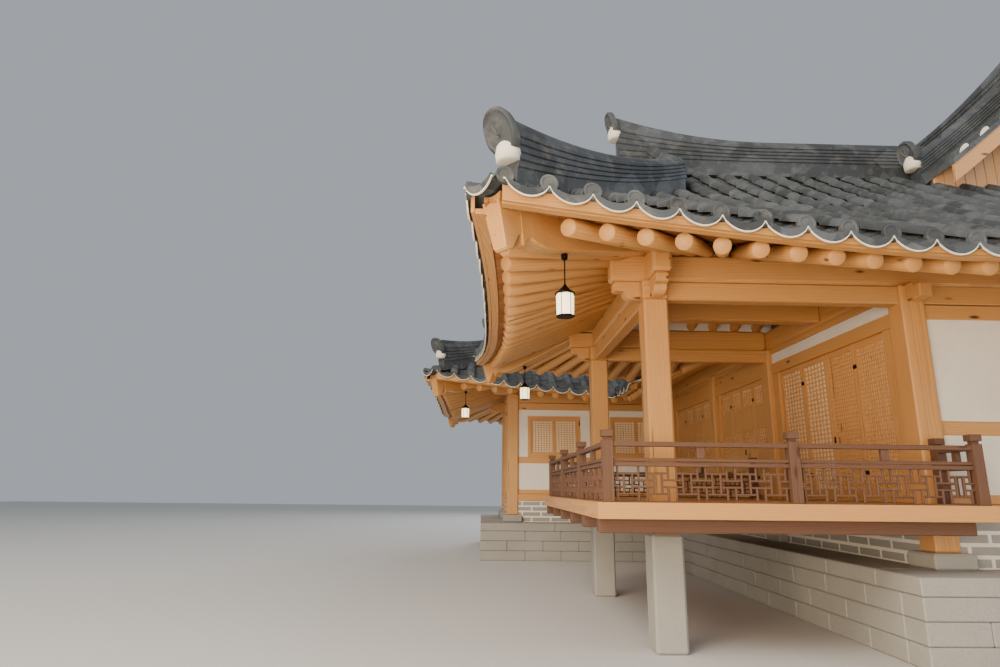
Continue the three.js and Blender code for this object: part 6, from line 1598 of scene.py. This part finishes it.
GABLE_BOARD, GABLE_BOARD_THICKNESS, BOARD_UNDER = 0.14, 0.06, 0.152
BARGEBOARD, BARGEBOARD_THICKNESS, BARGEBOARD_IN = 0.24, 0.045, 0.09
GABLE_OUT = 0.05


def gable(name, along, line, outward_sign, sides, mid):
    """Upright boards of a gable and the pair of bargeboards under its verges."""
    tops = [slope_top(side) for side in sides]
    low, high = [np.array(corner) + PLAN_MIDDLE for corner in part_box(name)]
    axis = "xy".index(along)

    def heads(spots):
        """Tops of the boards, under the lower one of the two slopes."""
        on_line = np.full(len(spots), line)
        xy = (spots, on_line) if along == "x" else (on_line, spots)
        return np.minimum(tops[0](*xy), tops[1](*xy)) - BOARD_UNDER

    parts = []
    count = round((high[axis] - low[axis]) / GABLE_BOARD)
    for a, b in pairwise(np.linspace(low[axis], high[axis], count + 1)):
        spots = np.array([a + 0.0015, b - 0.0015])
        left, right = np.maximum(heads(spots), low[2] + 0.01)
        outline = [(spots[0], low[2]), (spots[1], low[2]), (spots[1], right), (spots[0], left)]
        parts.append(plate(outline, GABLE_BOARD_THICKNESS, along, line))
    piece(f"{name}_boards", merge(*parts), pine, [name])
    barge = []
    for end in (low[axis], high[axis]):
        spots = np.linspace(mid, end, 12)
        outline = np.concatenate([np.stack([spots, heads(spots)], 1),
                                  np.stack([spots, heads(spots) - BARGEBOARD], 1)[::-1]])
        barge.append(plate(outline[::1 if end < mid else -1], BARGEBOARD_THICKNESS, along,
                           line + outward_sign * (VERGE - BARGEBOARD_IN)))
    piece(f"{name}_bargeboards", merge(*barge), pine, turn_out=True)


gable("pavilion_gable", "y", GABLE_X - GABLE_OUT, -1, ("front", "pavilion_back"), RIDGE_Y)
gable("back_wing_gable", "y", BACK_GABLE_X - GABLE_OUT, -1, ("back_front", "rear"), Y_BACK_MIDDLE)
gable("front_gable", "x", GABLE_Y - GABLE_OUT, -1, ("court", "right"), WING_X)
gable("rear_gable", "x", REAR_GABLE_Y + GABLE_OUT, 1, ("court", "right"), WING_X)


# Lanterns: a frosted glass shade between a black iron hood and bottom with six ribs, hung on a
# rod under three of the hip rafters. Each glows softly.
glass, glass_shader = finish("frosted_glass", "#FFF3DC", 0.35)
glass_shader.inputs["Emission Color"].default_value = linear("#FFE3B0")
glass_shader.inputs["Emission Strength"].default_value = 2.5
LANTERN_OUT = 1.06
RIBS, RIB, RIB_OUT, RIB_FOOT, RIB_TOP, RIB_ARRIS = 6, 0.006, 0.079, 2.912, 3.112, 0.001
# Radii and heights of the turned parts; the hook's heights are measured down from its top
SHADE = [(0.03, 2.913), (0.066, 2.916), (0.076, 2.93), (0.08, 3.09), (0.072, 3.112), (0.03, 3.116)]
HOOD = [(0.03, 3.11), (0.088, 3.11), (0.09, 3.12), (0.05, 3.15), (0.016, 3.19), (0.006, 3.21)]
HOOK = [(0.006, 0.06), (0.028, 0.045), (0.03, 0.012), (0.03, 0.001)]
BOTTOM = [(0.03, 2.906), (0.078, 2.906), (0.078, 2.918), (0.03, 2.918)]


def spun(profile, x, y, sides=24):
    """Turns a profile of radius and height round an upright axis."""
    profile = np.array(profile, float)
    turn = np.linspace(0, math.tau, sides, endpoint=False)
    rings = np.stack([x + profile[:, :1] * np.cos(turn), y + profile[:, :1] * np.sin(turn),
                      profile[:, 1:] + 0 * turn], axis=-1)[None]
    points, faces = tubes(rings)
    return points, faces, np.zeros_like(points)


for name, corner in (("front_lantern", 0), ("court_lantern", 1), ("back_wing_lantern", 4)):
    cx, cy, ix, iy = CORNERS[corner]
    out = OVERHANG - LANTERN_OUT
    x, y = cx + ix * out, cy + iy * out
    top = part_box(name)[1][2]
    hood = spun(HOOD + [(radius, top - down) for radius, down in HOOK], x, y)
    turns = np.arange(RIBS) * math.tau / RIBS
    places = zip(x + RIB_OUT * np.cos(turns), y + RIB_OUT * np.sin(turns))
    ribs = blocks(posts(places, RIB, RIB_FOOT, RIB_TOP), RIB_ARRIS)
    piece(f"{name}_glass", spun(SHADE, x, y), glass, [name], smooth=40)
    piece(f"{name}_iron", merge(hood, spun(BOTTOM, x, y), ribs), iron, smooth=40)

bpy.context.view_layer.update()
